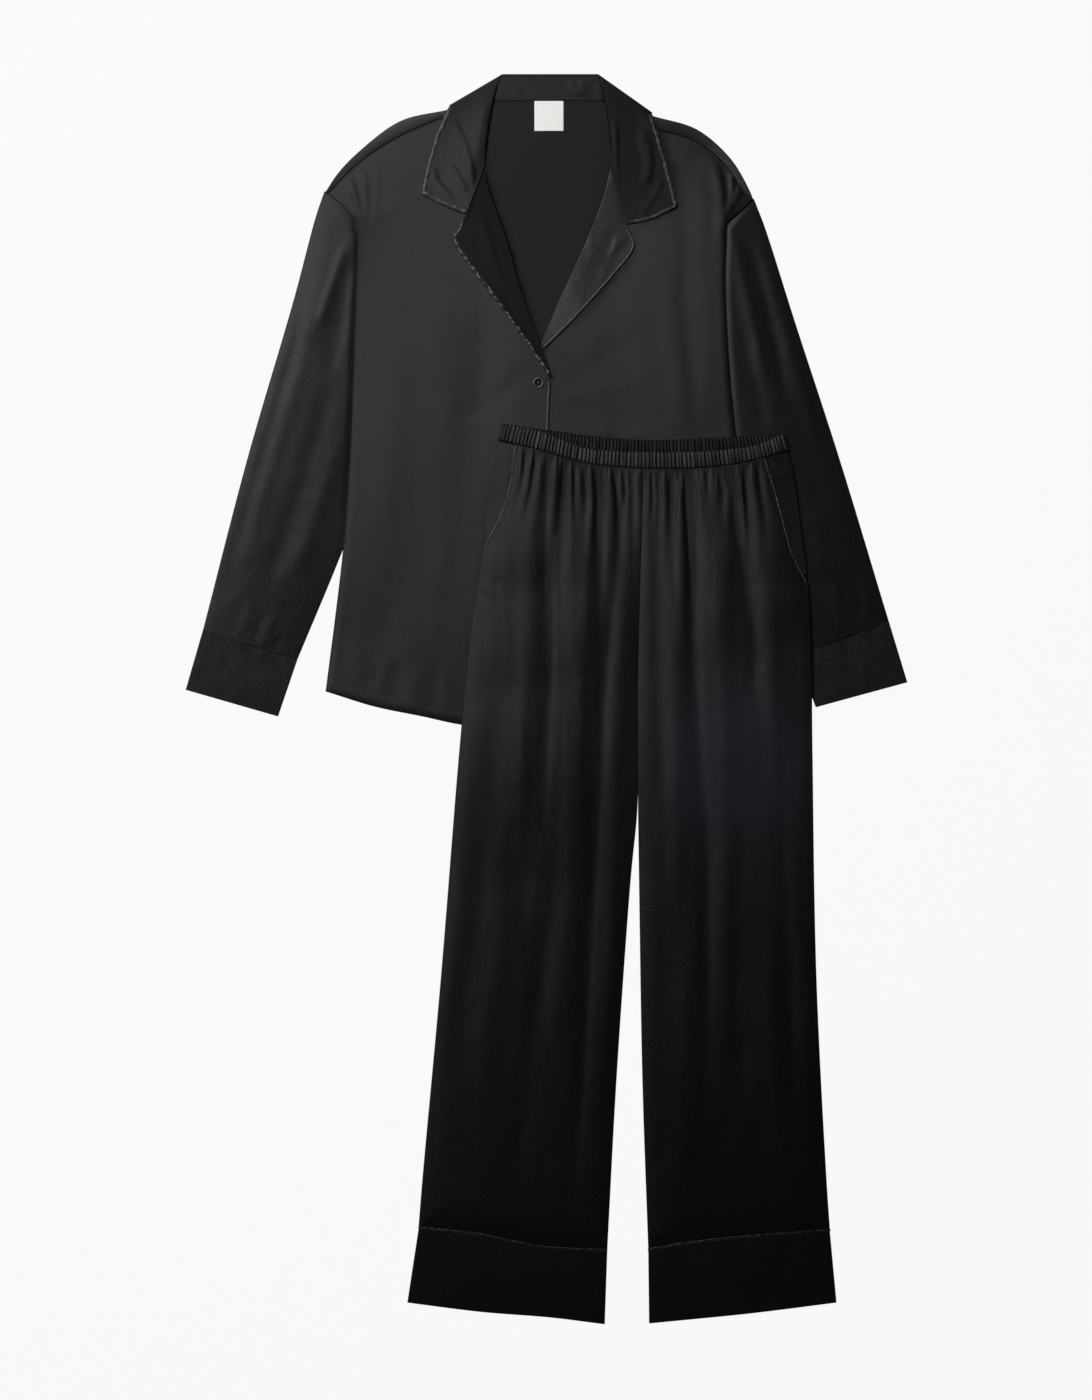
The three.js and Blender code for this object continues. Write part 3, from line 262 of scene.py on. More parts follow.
def shell(over, under):
    # A closed cloth wall from its upper and lower grids of places
    rows, columns = over.shape[:2]
    count = rows * columns
    border = np.concatenate([
        np.arange(columns), np.arange(1, rows) * columns + columns - 1,
        (rows - 1) * columns + np.arange(columns - 2, -1, -1), np.arange(rows - 2, 0, -1) * columns])
    after = np.roll(border, -1)
    faces = np.vstack([
        gridFaces(rows, columns), gridFaces(rows, columns, count, True),
        np.stack([border, after, after + count, border + count], 1)])
    places = np.vstack([over.reshape(-1, 3), under.reshape(-1, 3)])
    return places, faces, cutPlaces(travelled(over[rows // 2]), travelled(over[:, columns // 2]))


def tubeShell(outer, inner):
    # A closed wall from rings of places, open at both ends
    rows, ring = outer.shape[:2]
    count = rows * ring
    a = (np.arange(rows - 1)[:, None] * ring + np.arange(ring)[None, :]).ravel()
    b = (np.arange(rows - 1)[:, None] * ring + (np.arange(ring) + 1) % ring).ravel()
    rim = np.arange(ring)
    nextRim = (rim + 1) % ring
    last = (rows - 1) * ring
    faces = np.vstack([
        np.stack([a, b, b + ring, a + ring], 1),
        np.stack([a + count, a + ring + count, b + ring + count, b + count], 1),
        np.stack([rim, rim + count, nextRim + count, nextRim], 1),
        np.stack([last + rim, last + nextRim, last + nextRim + count, last + rim + count], 1)])
    places = np.vstack([outer.reshape(-1, 3), inner.reshape(-1, 3)])
    return places, faces, cutPlaces(travelled(outer[0]), travelled(outer[:, 0]))


def together(*parts):
    places, faces, uvs, start = [], [], [], 0
    for part in parts:
        places.append(part[0])
        faces.append(part[1] + start)
        uvs.append(part[2])
        start += len(part[0])
    return np.vstack(places), np.vstack(faces), np.vstack(uvs)


def sheetGrid(place, u, shares, underside, thickness=wall, rightShares=None):
    # The upper and lower faces of a cloth, with the same points over each other
    places, v = place(u, shares, shares if rightShares is None else rightShares)
    x, y = places[..., 0], places[..., 1]
    low = underside(x, y, np.broadcast_to(u[None, :], x.shape), v)
    onEdge = 1e-9
    sideEdge = np.minimum.reduce([u, 1 - u])[None, :] < onEdge
    rim = sideEdge | (v < onEdge) | (v > 1 - onEdge)
    high = low + thickness - cloth["edgeRound"] * rim
    over = np.stack([x, y, high], -1)
    under = np.stack([x, y, low + cloth["edgeLift"] * cloth["edgeRound"] * rim], -1)
    return over, under


def sheetPart(*given, **named):
    return shell(*sheetGrid(*given, **named))


def onTable(x, y, u, v):
    return 0 * x


def flatTube(place, shares, across, rise, thickness=wall, foldPoints=7, lowerStep=3):
    # A flattened tube: its lower wall, a rounded fold at each side, and its upper wall
    height = 2 * thickness + cloth["gap"]
    middle = height / 2
    turns = np.linspace(-90, 90, foldPoints + 2)[1:-1] * math.pi / 180
    ends, _ = place(np.array([0.0, 1.0]), shares, shares)
    width = np.linalg.norm(ends[:, 1] - ends[:, 0], axis=1)

    def ring(share, fold, depth):
        # Places round the tube, at a depth inside its outer face
        scale = (middle - depth) / middle
        lowU = fold + (1 - 2 * fold) * across[::lowerStep]
        rightU = 1 - fold + fold * np.cos(turns) * scale
        highU = 1 - fold - (1 - 2 * fold) * across
        leftU = fold - fold * np.cos(turns) * scale
        u = np.concatenate([lowU, rightU, highU, leftU])
        bend = middle + (middle - depth) * np.sin(turns)
        level = np.concatenate([
            np.full(lowU.shape, depth), bend, np.full(highU.shape, height - depth), bend[::-1]])
        upper = np.zeros(len(u), bool)
        upper[len(lowU) + len(rightU):len(lowU) + len(rightU) + len(highU)] = True
        at, v = place(u, np.array([share]), np.array([share]))
        x, y = at[0, :, 0], at[0, :, 1]
        lift = rise(x, y, (u - fold) / (1 - 2 * fold), v[0])
        return np.stack([x, y, level + np.where(upper, lift, 0)], -1)
    folds = middle / width
    outer = [ring(share, fold, 0.0) for share, fold in zip(shares, folds)]
    inner = [ring(share, fold, thickness) for share, fold in zip(shares, folds)]
    return tubeShell(np.array(outer), np.array(inner))


def nodeOf(name):
    # The CAD node that a piece stands for: rightLegCuff stands for right_leg_cuff
    if name == "shirtCollar":
        return "collar"
    return "".join("_" + sign.lower() if sign.isupper() or sign.isdigit() else sign for sign in name)


def makeSheet(name, parts, slotName, look=None):
    piece = finishPiece(name, meshFrom(name, *parts), slotName, nodeOf(name))
    if look:
        wear(piece, look)
    return piece


# Shader trees
class Maths:
    # A socket, or a number, that can be written in an expression
    def __init__(self, look, socket):
        self.look, self.socket = look, socket

    def join(self, operation, other, swap=False):
        values = [self.socket, other.socket if isinstance(other, Maths) else other]
        if swap:
            values.reverse()
        node = self.look.add("ShaderNodeMath", {"operation": operation}, values)
        return Maths(self.look, node.outputs[0])

    def __add__(self, other):
        return self.join("ADD", other)

    def __radd__(self, other):
        return self.join("ADD", other, True)

    def __sub__(self, other):
        return self.join("SUBTRACT", other)

    def __rsub__(self, other):
        return self.join("SUBTRACT", other, True)

    def __mul__(self, other):
        return self.join("MULTIPLY", other)

    def __rmul__(self, other):
        return self.join("MULTIPLY", other, True)

    def __truediv__(self, other):
        return self.join("DIVIDE", other)

    def __rtruediv__(self, other):
        return self.join("DIVIDE", other, True)

    def __pow__(self, other):
        return self.join("POWER", other)


class Look:
    # A material and the way its nodes are added
    def __init__(self, name):
        self.material = bpy.data.materials.new(name)
        self.material.use_nodes = True
        self.tree = self.material.node_tree
        self.tree.nodes.clear()
        self.output = self.add("ShaderNodeOutputMaterial")

    def add(self, kind, settings=None, sockets=None):
        node = self.tree.nodes.new(kind)
        for key, value in (settings or {}).items():
            if key == "stops":
                for stop, (position, colour) in zip(node.color_ramp.elements, value):
                    stop.position, stop.color = position, colour
            else:
                setattr(node, key, value)
        pairs = sockets.items() if isinstance(sockets, dict) else enumerate(sockets or [])
        for key, value in pairs:
            if isinstance(value, Maths):
                value = value.socket
            if isinstance(value, bpy.types.NodeSocket):
                self.tree.links.new(value, node.inputs[key])
            else:
                node.inputs[key].default_value = value
        return node

    def value(self, node, output=0):
        return Maths(self, node.outputs[output])

    def surface(self, sockets):
        shader = self.add("ShaderNodeBsdfPrincipled", None, sockets)
        self.tree.links.new(shader.outputs[0], self.output.inputs[0])
        return self.material


# The satin's grain. Sizes are in cells or lines a metre
satin = {
    "grainSize": 500.0, "grainDetail": 2.0, "grainRoughness": 0.7,
    "slubSize": 60.0, "slubDetail": 3.0, "slubRoughness": 0.6,
    "bloomSize": 7.0, "bloomDetail": 2.0, "bloomRoughness": 0.5,
    "weaveLines": 1400.0, "weaveDistortion": 1.5,
    "darkestShade": 0.28, "lightestShade": 0.72,
    "smoothest": -0.20, "grainToRoughness": 0.40, "bloomToRoughness": 0.06,
    "bumpStrength": 0.9, "bumpDistance": 0.00035,
    "sheen": 0.03, "sheenRoughness": 0.35, "sheenTint": (0.8, 0.8, 0.85, 1),
}


def satinLook(name, dark, light, roughness, gloss, tint, cool=None):
    look = Look(name)
    place = look.add("ShaderNodeTexCoord")
    spot, cut = place.outputs["Object"], place.outputs["UV"]

    def cloud(kind):
        return look.value(look.add("ShaderNodeTexNoise", None, {
            "Vector": spot, "Scale": satin[kind + "Size"], "Detail": satin[kind + "Detail"],
            "Roughness": satin[kind + "Roughness"]}))
    grain, slub, bloom = cloud("grain"), cloud("slub"), cloud("bloom")
    weave = look.value(look.add("ShaderNodeTexWave", {"bands_direction": "DIAGONAL"}, {
        "Vector": cut, "Scale": satin["weaveLines"] * math.pi / 10,
        "Distortion": satin["weaveDistortion"], "Detail": 1.0}))
    shade = 0.45 * grain + 0.3 * bloom + 0.15 * slub + 0.1 * weave
    stops = [(satin["darkestShade"], dark), (satin["lightestShade"], light)]
    colour = look.add("ShaderNodeValToRGB", {"stops": stops}, [shade]).outputs[0]
    # Mixes a painted patch of lighter, bluish light into the base colour around a given place
    if cool:
        away = look.value(look.add(
            "ShaderNodeVectorMath", {"operation": "DISTANCE"}, [spot, cool["place"]]), 1)
        near = cool["share"] / (1.0 + (away / cool["reach"]) ** 4.0)
        colour = look.add("ShaderNodeMix", {"data_type": "RGBA"}, {
            0: near, 6: colour, 7: cool["colour"]}).outputs[2]
    rough = (roughness + satin["smoothest"] + satin["grainToRoughness"] * grain
             + satin["bloomToRoughness"] * (bloom - 0.5))
    bump = look.add("ShaderNodeBump", None, {
        "Strength": satin["bumpStrength"], "Distance": satin["bumpDistance"],
        "Height": 0.5 * grain + 0.25 * weave + 0.6 * slub})
    return look.surface({
        "Base Color": colour, "Roughness": rough, "Normal": bump.outputs[0],
        "Specular IOR Level": gloss, "Specular Tint": tint, "Sheen Weight": satin["sheen"],
        "Sheen Roughness": satin["sheenRoughness"], "Sheen Tint": satin["sheenTint"]})


def plasticLook(name, dark, light, roughness=0.18, coat=0.4, gloss=0.5):
    look = Look(name)
    spot = look.add("ShaderNodeTexCoord").outputs["Object"]
    cloud = look.value(look.add("ShaderNodeTexNoise", None, {"Vector": spot, "Scale": 350.0, "Detail": 2.0}))
    ramp = look.add("ShaderNodeValToRGB", {"stops": [(0.3, dark), (0.7, light)]}, [cloud])
    bump = look.add("ShaderNodeBump", None, {"Strength": 0.15, "Distance": 0.0001, "Height": cloud})
    return look.surface({
        "Base Color": ramp.outputs[0], "Roughness": roughness + 0.12 * cloud, "Normal": bump.outputs[0],
        "Coat Weight": coat, "Coat Roughness": 0.28, "Specular IOR Level": gloss})


def labelLook(name, dark, light):
    look = Look(name)
    spot = look.add("ShaderNodeTexCoord").outputs["Object"]

    def threads(direction, scale):
        return look.value(look.add("ShaderNodeTexWave", {"bands_direction": direction}, {
            "Vector": spot, "Scale": scale, "Distortion": 0.6}))
    weft, warp = threads("X", 160.0), threads("Y", 240.0)
    cross = 0.5 * weft + 0.5 * warp
    ramp = look.add("ShaderNodeValToRGB", {"stops": [(0.1, dark), (0.8, light)]}, [cross])
    bump = look.add("ShaderNodeBump", None, {"Strength": 0.3, "Distance": 0.0002, "Height": cross})
    return look.surface({
        "Base Color": ramp.outputs[0], "Roughness": 0.5 + 0.1 * weft, "Normal": bump.outputs[0]})


# Darkest and lightest thread, and the tint of the shine
shirtThread = (0.0032, 0.0026, 0.0032, 1), (0.0070, 0.0060, 0.0070, 1)
trouserThread = (0.0022, 0.0012, 0.0015, 1), (0.0048, 0.0028, 0.0034, 1)
pipingThread = (0.012, 0.012, 0.014, 1), (0.030, 0.030, 0.034, 1)
shirtTint, trouserTint, pipingTint = (1, 0.93, 1, 1), (1, 0.94, 0.97, 1), (0.95, 0.96, 1, 1)
# A painted pool of bluish light on the thigh at the viewer's right, mixed into the trousers' base colour
paintedLightPatch = {
    "place": (0.226, -0.078, 0.01), "reach": 0.095, "share": 0.8, "colour": (0.011, 0.0135, 0.019, 1)}
materials = {
    "shirt_satin": satinLook("shirtSatin", *shirtThread, 0.396, 0.175, shirtTint),
    "trouser_satin": satinLook("trouserSatin", *trouserThread, 0.36, 0.158, trouserTint, paintedLightPatch),
    "piping_satin": satinLook("pipingSatin", *pipingThread, 0.36, 0.26, pipingTint),
    "button_plastic": plasticLook("buttonPlastic", (0.016, 0.016, 0.018, 1), (0.045, 0.045, 0.050, 1)),
    "label_cloth": labelLook("labelCloth", (0.60, 0.60, 0.58, 1), (0.745, 0.745, 0.72, 1)),
}
# The same satin looks duller from its wrong side. The other entries are lit and shaded copies of the satin,
# their gloss raised or lowered piece by piece to paint light and shade where the light falls:
# a material's name, its threads, roughness, gloss and tint
satinTable = {
    "reverse": ("shirtReverse", *shirtThread, 0.43, 0.085, shirtTint),
    "rightLapel": ("shirtSatinAway", *shirtThread, 0.4, 0.045, shirtTint),
    "leftLapel": ("shirtSatinAlong", *shirtThread, 0.396, 0.31, shirtTint),
    "farSleeve": ("shirtSatinFar", *shirtThread, 0.396, 0.17, shirtTint),
    "farCuff": ("shirtSatinFarCuff", *shirtThread, 0.396, 0.38, shirtTint),
    "farFall": ("shirtSatinFall", *shirtThread, 0.4, 0.062, shirtTint),
    "stand": ("shirtSatinStand", *shirtThread, 0.4, 0.13, shirtTint),
    "legCuff": ("trouserSatinHem", *trouserThread, 0.38, 0.26, trouserTint),
    "facing": ("trouserSatinFacing", *trouserThread, 0.4, 0.1, trouserTint),
    "brightPiping": ("pipingSatinBright", *pipingThread, 0.4, 0.26, pipingTint),
    "dullPiping": ("pipingSatinDull", *pipingThread, 0.38, 0.16, pipingTint),
    "legPiping": ("pipingSatinLeg", trouserThread[0], pipingThread[0], 0.38, 0.28, pipingTint),
    "waistband": ("trouserSatinBand", *trouserThread, 0.38, 0.27, trouserTint),
}
satins = {use: satinLook(*facts) for use, facts in satinTable.items()}
# A darker, duller copy of the button plastic for the dish: painted shade in the hollow
shadedButtonDish = plasticLook("shadedButtonDish", (0.003, 0.003, 0.003, 1), (0.006, 0.006, 0.007, 1), 0.45, 0.0, 0.1)


def wear(piece, material, chosen=lambda middle: True):
    # Gives a piece, or the faces of it that are chosen by their middle, another look
    piece.data.materials.append(material)
    for face in piece.data.polygons:
        if chosen(face.center):
            face.material_index = len(piece.data.materials) - 1


print("stage: materials")

# Shirt outline
frontEdge = 5
leftFrontEdge = -25
neckSeam = 717.6
rightTip, leftTip = (-262, 606), (245, 597)
rightShoulderSeam = [rightTip, (-222, 645), (-179, 673), (-129, 695.5)]
rightShoulderFold = [(-265, 608), (-252, 628), (-229, 653), (-176, 693), (-120, 706.5)]
leftShoulderSeam = [(136, 682), (179, 669), (214, 640), (234, 611), leftTip]
leftShoulderFold = [(129, 699), (181, 683), (221, 648), (243, 611), (248, 599)]
rightArmhole = [rightTip, (-243, 590), (-225, 563)]
rightSide = [(-225, 563), (-230, 441), (-236, 287), (-244, 179), (-265, 9)]
leftArmhole = [leftTip, (232, 584), (216, 572)]
leftSide = [(216, 572), (214, 500), (219, 394), (226, 322), (250, 119), (270, 8)]
rightHem = [(-265, 9), (-207, -9), (-149, -21), (-102, -31), (frontEdge, -43)]
leftHem = [(frontEdge, -43), (110, -31), (200, -13), (270, 8)]
rightRoll = [(-74, 636.6), (-68, 612), (-57, 582), (-46, 550), (-26, 478), (-5, 420), (8, 382)]
leftRoll = [(77.2, 636.7), (69, 610), (58, 578), (45, 546), (17, 483), (-5, 431), (-8, 424)]
rightLapelPoint, leftLapelPoint = (-112, 554), (106.5, 547)
rightNotch, leftNotch = (-94.7, 581.6), (95.7, 569.2)
rightLapelEdge = [rightLapelPoint, (-104, 537), (-88, 514), (-44, 456), (-17, 417), (3, 387)]
leftLapelEdge = [leftLapelPoint, (103, 536), (85, 513), (45, 468), (22, 444), (-4, 419)]

# Collar: its fold, the roll down each front, the seam to the lapel, the outer edge and the end
collarFoldLine = [(-117, 712), (-53, 749.5), (62, 749.5), (127, 703.5)]
rightCollarRoll = [(-54.5, 746.5), (-61, 725), (-67, 695), (-72, 659), (-74.9, 637)]
rightCollarSeam = [(-74.9, 637), (-95.6, 582)]
rightCollarEdge = [(-116, 709.6), (-131, 677), (-143, 635), (-149, 606)]
rightCollarEnd = [(-149, 606), (-122, 592), (-95.6, 582)]
leftCollarRoll = [(63.5, 746.5), (68, 725), (73, 695), (77, 659), (78.4, 637)]
leftCollarSeam = [(78.4, 637), (96.9, 569.5)]
leftCollarEdge = [(126, 701.2), (134, 675), (148, 626), (156.5, 590)]
leftCollarEnd = [(96.9, 569.5), (125, 575), (156.5, 590)]
hiddenFallEdge = [(-98, 684), (2, 671), (106, 680)]

# Sleeves: the outer edge shows, and the inner edge runs under the shirt body
rightSleeveOuter = [(-266.4, 609.4), (-277, 578), (-303, 480), (-359, 288), (-412, 83.4)]
rightSleeveInner = [(-190, 556), (-178, 490), (-176, 410), (-190, 320), (-249, 167), (-299.2, 46.4)]
rightCuffEdges = [(-412, 83.6), (-433, 11)], [(-299, 46.6), (-322, -21)]
leftSleeveOuter = [(248.8, 600.2), (262, 566), (298, 453), (351, 290), (411, 92.4)]
leftSleeveInner = [(180, 553), (168, 480), (166, 400), (180, 310), (245, 160), (298.7, 53.4)]
leftCuffEdges = [(411, 92.6), (433, 20)], [(298.6, 53.6), (323, -10)]

# Trousers
bandTop = [
    (-53, 330), (-11, 322), (46, 301), (88, 297), (144, 295.5), (199, 297.5), (250, 304), (284, 318)]
bandBottom = [
    (-59, 310), (-11, 299), (46, 283), (102, 277), (144, 275.5), (199, 278), (241, 284), (290, 298)]
backBandTop = [
    (-52, 328.5), (10, 321), (60, 314), (102, 311), (144, 310.5), (199, 313), (241, 315), (283, 317)]
backBandBottom = [
    (-57, 309), (10, 301), (60, 294), (102, 291), (144, 290.5), (199, 293), (241, 295.5), (288, 298)]
rightPocket = [(-36.5, 304.6), (-41, 287), (-42, 268), (-47, 244), (-56, 219), (-77, 178)]
rightHip = [(-58, 309), (-62, 287), (-71, 239), (-77, 178)]
rightLegOuter = [(-77, 178), (-91, 80), (-105, -67), (-127, -337), (-149, -577), (-153.5, -633)]
rightLegInner = [
    (115.9, 276), (112.8, 167), (109.6, 30), (109.4, -54), (109.1, -130), (101, -217), (84, -457), (73, -660)]
leftPocket = [(262, 289), (269, 266), (277, 240), (285, 210), (294, 177), (313.2, 138)]
leftHip = [(289, 298), (295, 275), (306, 200), (313.2, 138)]
leftLegOuter = [(313.2, 138), (317, 80), (319, -67), (324, -337), (336, -577), (340, -636)]
leftLegInner = [
    (115.9, 276), (112.7, 167), (109.4, 30), (109.4, -60), (109.8, -130), (111, -217),
    (115, -457), (122, -659)]
rightCuffSeam = [(-153.5, -633), (-80, -641), (-37, -650), (-5, -656), (73, -660)]
leftCuffSeam = [(122, -659), (179, -650), (235, -644), (340, -636)]
rightLegHem = [(-167, -724), (-80, -735), (6, -742), (70, -750)]
leftLegHem = [(123, -749), (244, -737), (348, -724)]

# Folds laid one by one: height, width on the left of the way, width on its right, and the way
shirtFolds = [
    (1.5, 5, 9, [(-219, 560), (-221, 470), (-226, 400)]),
    (-4.0, 4, 5, [(-246, 612), (-236, 592), (-228, 566)]),
    (3.0, 4, 5, [(-238, 622), (-228, 600), (-221, 566)]),
    (-1.0, 12, 12, [(-200, 640), (-204, 540), (-206, 440), (-212, 330)]),
    (1.1, 16, 16, [(-178, 640), (-182, 520), (-186, 400), (-196, 240)]),
    (-0.8, 16, 16, [(-150, 610), (-152, 500), (-160, 300), (-172, 120)]),
    (0.9, 18, 18, [(-120, 520), (-118, 380), (-128, 200), (-140, 60)]),
    (-0.7, 14, 14, [(-84, 480), (-78, 360), (-92, 200), (-100, 40)]),
    (0.8, 12, 14, [(-52, 430), (-60, 330), (-74, 180)]),
    (-0.9, 8, 12, [(-24, 392), (-70, 350), (-120, 330)]),
    (0.9, 7, 9, [(-16, 366), (-44, 326), (-66, 270)]),
    (-1.0, 6, 8, [(-22, 372), (-30, 330), (-38, 280)]),
    (4.2, 3, 9, [(200.9, 654.5), (209.5, 614.4), (213, 575), (212, 540)]),
    (-3.2, 5, 3, [(207, 652), (219, 614), (222, 580)]),
    (1.1, 14, 14, [(186, 640), (188, 540), (192, 420), (196, 330)]),
    (-1.0, 11, 11, [(168, 650), (168, 540), (172, 420), (178, 330)]),
    (1.0, 12, 12, [(146, 540), (150, 460), (158, 380), (166, 320)]),
    (-0.9, 12, 12, [(120, 520), (128, 440), (142, 360)]),
    (0.7, 13, 11, [(14, 392), (60, 430), (108, 490), (140, 560)]),
    (-0.5, 9, 12, [(12, 378), (60, 404), (120, 440), (170, 500)]),
    (0.5, 10, 12, [(14, 362), (60, 368), (110, 384), (160, 410)]),
    (-0.5, 7, 10, [(14, 352), (56, 344), (100, 338), (150, 342)]),
    (0.8, 8, 10, [(30, 330), (80, 318), (130, 318)]),
    (1.0, 7, 7, [(-205, -2), (-198, 20), (-190, 52)]),
    (-0.8, 6, 6, [(-184, -8), (-180, 16), (-176, 40)]),
    (0.9, 8, 8, [(-160, -14), (-158, 14), (-152, 40)]),
    (-0.8, 7, 7, [(-134, -18), (-134, 10), (-130, 34)]),
    (0.9, 8, 8, [(-116, -20), (-118, 8), (-116, 44)]),
    (0.9, 12, 12, [(-236, 120), (-226, 60), (-232, 12)]),
]
# Folds at the armhole tips and under the edges of the fall, which keep their height at the panel's edge
edgeFolds = [
    (1.5, 3, 3, [(-247, 616), (-238, 596), (-227, 571)]),
    (1.9, 3, 3.5, [(-236, 628), (-229, 600), (-222, 568)]),
    (1.6, 3, 4, [(-221, 640), (-217, 610), (-216, 562)]),
    (1.3, 4, 3, [(-204, 650), (-203, 610), (-210, 560)]),
    (1.8, 3, 3, [(222, 634), (222, 606), (216, 580)]),
    (1.5, 3, 3, [(233, 618), (227, 600), (218, 580)]),
    (1.3, 7, 3, [(125, 694), (132, 672), (146, 624), (154, 592)]),
    (1.3, 7, 3, [(154, 593), (125, 578), (100, 572)]),
    (0.9, 6, 3, [(102, 550), (101, 536), (83, 514), (43, 469), (10, 436)]),
]
neckFolds = [
    (1.4, 6, 2, [(-77, 676), (-79, 638), (-72, 612), (-61, 582), (-50, 550), (-30, 478), (-9, 424)]),
]
sleeveFolds = [
    (-1.5, 8, 14, [(-229, 539), (-240, 492), (-250, 434), (-262, 380)]),
    (1.8, 8, 6, [(-236, 556), (-256, 500), (-276, 440)]),
    (1.2, 12, 14, [(-262, 560), (-290, 430), (-330, 290), (-368, 150)]),
    (-1.0, 10, 10, [(-282, 500), (-314, 380), (-352, 250), (-386, 130)]),
    (0.9, 8, 8, [(-300, 470), (-334, 350), (-372, 220)]),
    (-1.4, 12, 12, [(-252, 400), (-282, 290), (-318, 180), (-344, 110)]),
    (1.2, 12, 10, [(-242, 330), (-272, 230), (-306, 140)]),
    (0.5, 6, 6, [(-370, 72), (-362, 92), (-352, 116)]),
    (-0.6, 4, 5, [(-352, 66), (-346, 86), (-338, 104)]),
    (0.5, 5, 5, [(-338, 62), (-334, 80), (-326, 100)]),
    (-0.8, 4, 4, [(-324, 58), (-321, 74)]),
    (1.6, 6, 9, [(222, 566), (236, 500), (252, 430), (262, 370)]),
    (-1.6, 8, 8, [(238, 566), (256, 500), (276, 420), (290, 350)]),
    (1.0, 10, 10, [(262, 540), (284, 460), (308, 370), (330, 290)]),
    (-1.2, 9, 12, [(232, 470), (246, 400), (262, 330), (286, 250)]),
    (1.2, 12, 12, [(262, 330), (300, 230), (336, 140)]),
    (-0.9, 8, 8, [(330, 100), (326, 130), (318, 160)]),
    (0.9, 6, 6, [(352, 86), (350, 110), (344, 140)]),
    (-0.8, 5, 5, [(374, 90), (372, 112)]),
    (0.8, 5, 5, [(388, 92), (386, 114), (378, 150)]),
]
legFolds = [
    (-2.2, 8, 12, [(92, 263), (80, 134), (68, -1), (61, -142), (52, -300), (41, -488), (28, -640)]),
    (1.6, 14, 10, [(100, 200), (92, 60), (86, -100), (78, -300), (62, -520)]),
    (1.6, 14, 14, [(56, 220), (44, 80), (36, -60), (28, -220), (12, -440)]),
    (-1.8, 7, 12, [(5, 240), (5, 120), (5, 32), (-3, -136)]),
    (1.4, 12, 12, [(-16, 240), (-20, 120), (-26, -20), (-34, -180)]),
    (-1.3, 14, 14, [(2, -230), (-2, -294), (-24, -467), (-34, -600)]),
    (-1.3, 16, 16, [(-56, 60), (-66, -80), (-75, -173), (-115, -488)]),
    (1.2, 16, 16, [(-50, -200), (-62, -330), (-84, -520)]),
    (1.0, 12, 12, [(-96, -40), (-108, -180), (-128, -420)]),
    (-2.0, 9, 10, [(178, 266), (176, 119), (184, -82), (192, -186), (192, -488)]),
    (1.6, 12, 12, [(154, 230), (154, 100), (156, -80), (158, -280)]),
    (-1.4, 10, 10, [(134, 262), (132, 150), (134, 20), (138, -160)]),
    (1.7, 14, 12, [(206, 250), (208, 120), (214, -40), (218, -200), (222, -400)]),
    (-1.9, 9, 9, [(232, 242), (240, 170), (248, 79), (250, -20)]),
    (1.3, 10, 10, [(258, 230), (266, 120), (272, 0), (276, -160)]),
    (-1.2, 12, 12, [(236, -160), (227, -238), (227, -328), (236, -500)]),
    (-1.4, 10, 12, [(280, -100), (287, -229), (300, -532)]),
    (1.1, 12, 12, [(262, -240), (270, -400), (282, -580)]),
    (-0.9, 10, 10, [(296, 110), (300, 20), (302, -80)]),
    (1.1, 16, 16, [(166, -300), (166, -460), (164, -620)]),
]

pocketFolds = [
    (-1.5, 4, 5, [(-84, 156), (-72, 148), (-54, 130)]),
    (1.3, 4, 5, [(-84, 142), (-74, 137), (-60, 122)]),
    (-1.4, 4, 5, [(-88, 130), (-76, 124), (-64, 110)]),
    (1.1, 4, 5, [(-90, 118), (-78, 113), (-68, 102)]),
    (-1.2, 5, 5, [(-92, 104), (-82, 98), (-74, 84)]),
]

# Heights of the layers
rightBodySide, leftBodySide = Line(rightArmhole, rightSide), Line(leftArmhole, leftSide)
rightSeamLine, leftSeamLine = Line(rightShoulderSeam), Line(leftShoulderSeam)
bodyOutline = outline(
    rightBodySide.back(), rightSeamLine, leftSeamLine, leftBodySide, Line(leftHem).back(),
    Line(rightHem).back())
hiddenShare = 0.78
hiddenRightSleeve = outline(
    Line(rightSleeveOuter).part(0, hiddenShare).back(), Line(rightSleeveInner).part(0, hiddenShare))
hiddenLeftSleeve = outline(
    Line(leftSleeveOuter).part(0, hiddenShare), Line(leftSleeveInner).part(0, hiddenShare).back())
foldCorners = Line(*[[a, b] for a, b in zip(collarFoldLine, collarFoldLine[1:])])
hiddenFall = outline(foldCorners, Line(hiddenFallEdge).back())
leftSleeveOutline = outline(Line(leftSleeveOuter), Line(leftSleeveInner).back())
leftCuffOutline = outline(Line(leftCuffEdges[0]), Line(leftCuffEdges[1]).back())
bandBottomLine, backBandBottomLine = Line(bandBottom), Line(backBandBottom)
rightLegFrontEdge, leftLegFrontEdge = Line(rightPocket, rightLegOuter), Line(leftPocket, leftLegOuter)
rightLegBackEdge, leftLegBackEdge = Line(rightHip, rightLegOuter), Line(leftHip, leftLegOuter)
rightSeat, leftSeat = Line(rightLegInner), Line(leftLegInner)
trouserOutline = outline(
    Line(bandTop), Line([bandTop[-1], leftHip[0]]), leftLegBackEdge, Line(leftCuffSeam).back(),
    leftSeat.back(), rightSeat, Line(rightCuffSeam).back(), rightLegBackEdge.back())
buttonPlaces = [(-9.7 + 0.4 * i, 379.2 - 97 * i) for i in range(4)]

# How the shirt's body puffs up above what it lies on. Pairs say where an effect begins and ends
bodyShape = {
    "loft": 1.2, "loftReach": 30,
    "sidePuff": 2.1, "sideReach": 3.2, "sideFade": 18, "sideHeights": (560, 625),
    "folds": 0.5, "foldReach": 14,
    "ripples": [(0.2, 46, 1, 3), (0.08, 17, 1, 4), (0.26, 27, 7, 5), (0.11, 11, 7, 6)],
    "fromTrousers": (4, 40), "fromButton": (7, 16), "fromSleeve": (12, 100), "fromFall": (16, 110),
    "lapAcross": (-75, -32), "lapHeights": (440, 520),
}


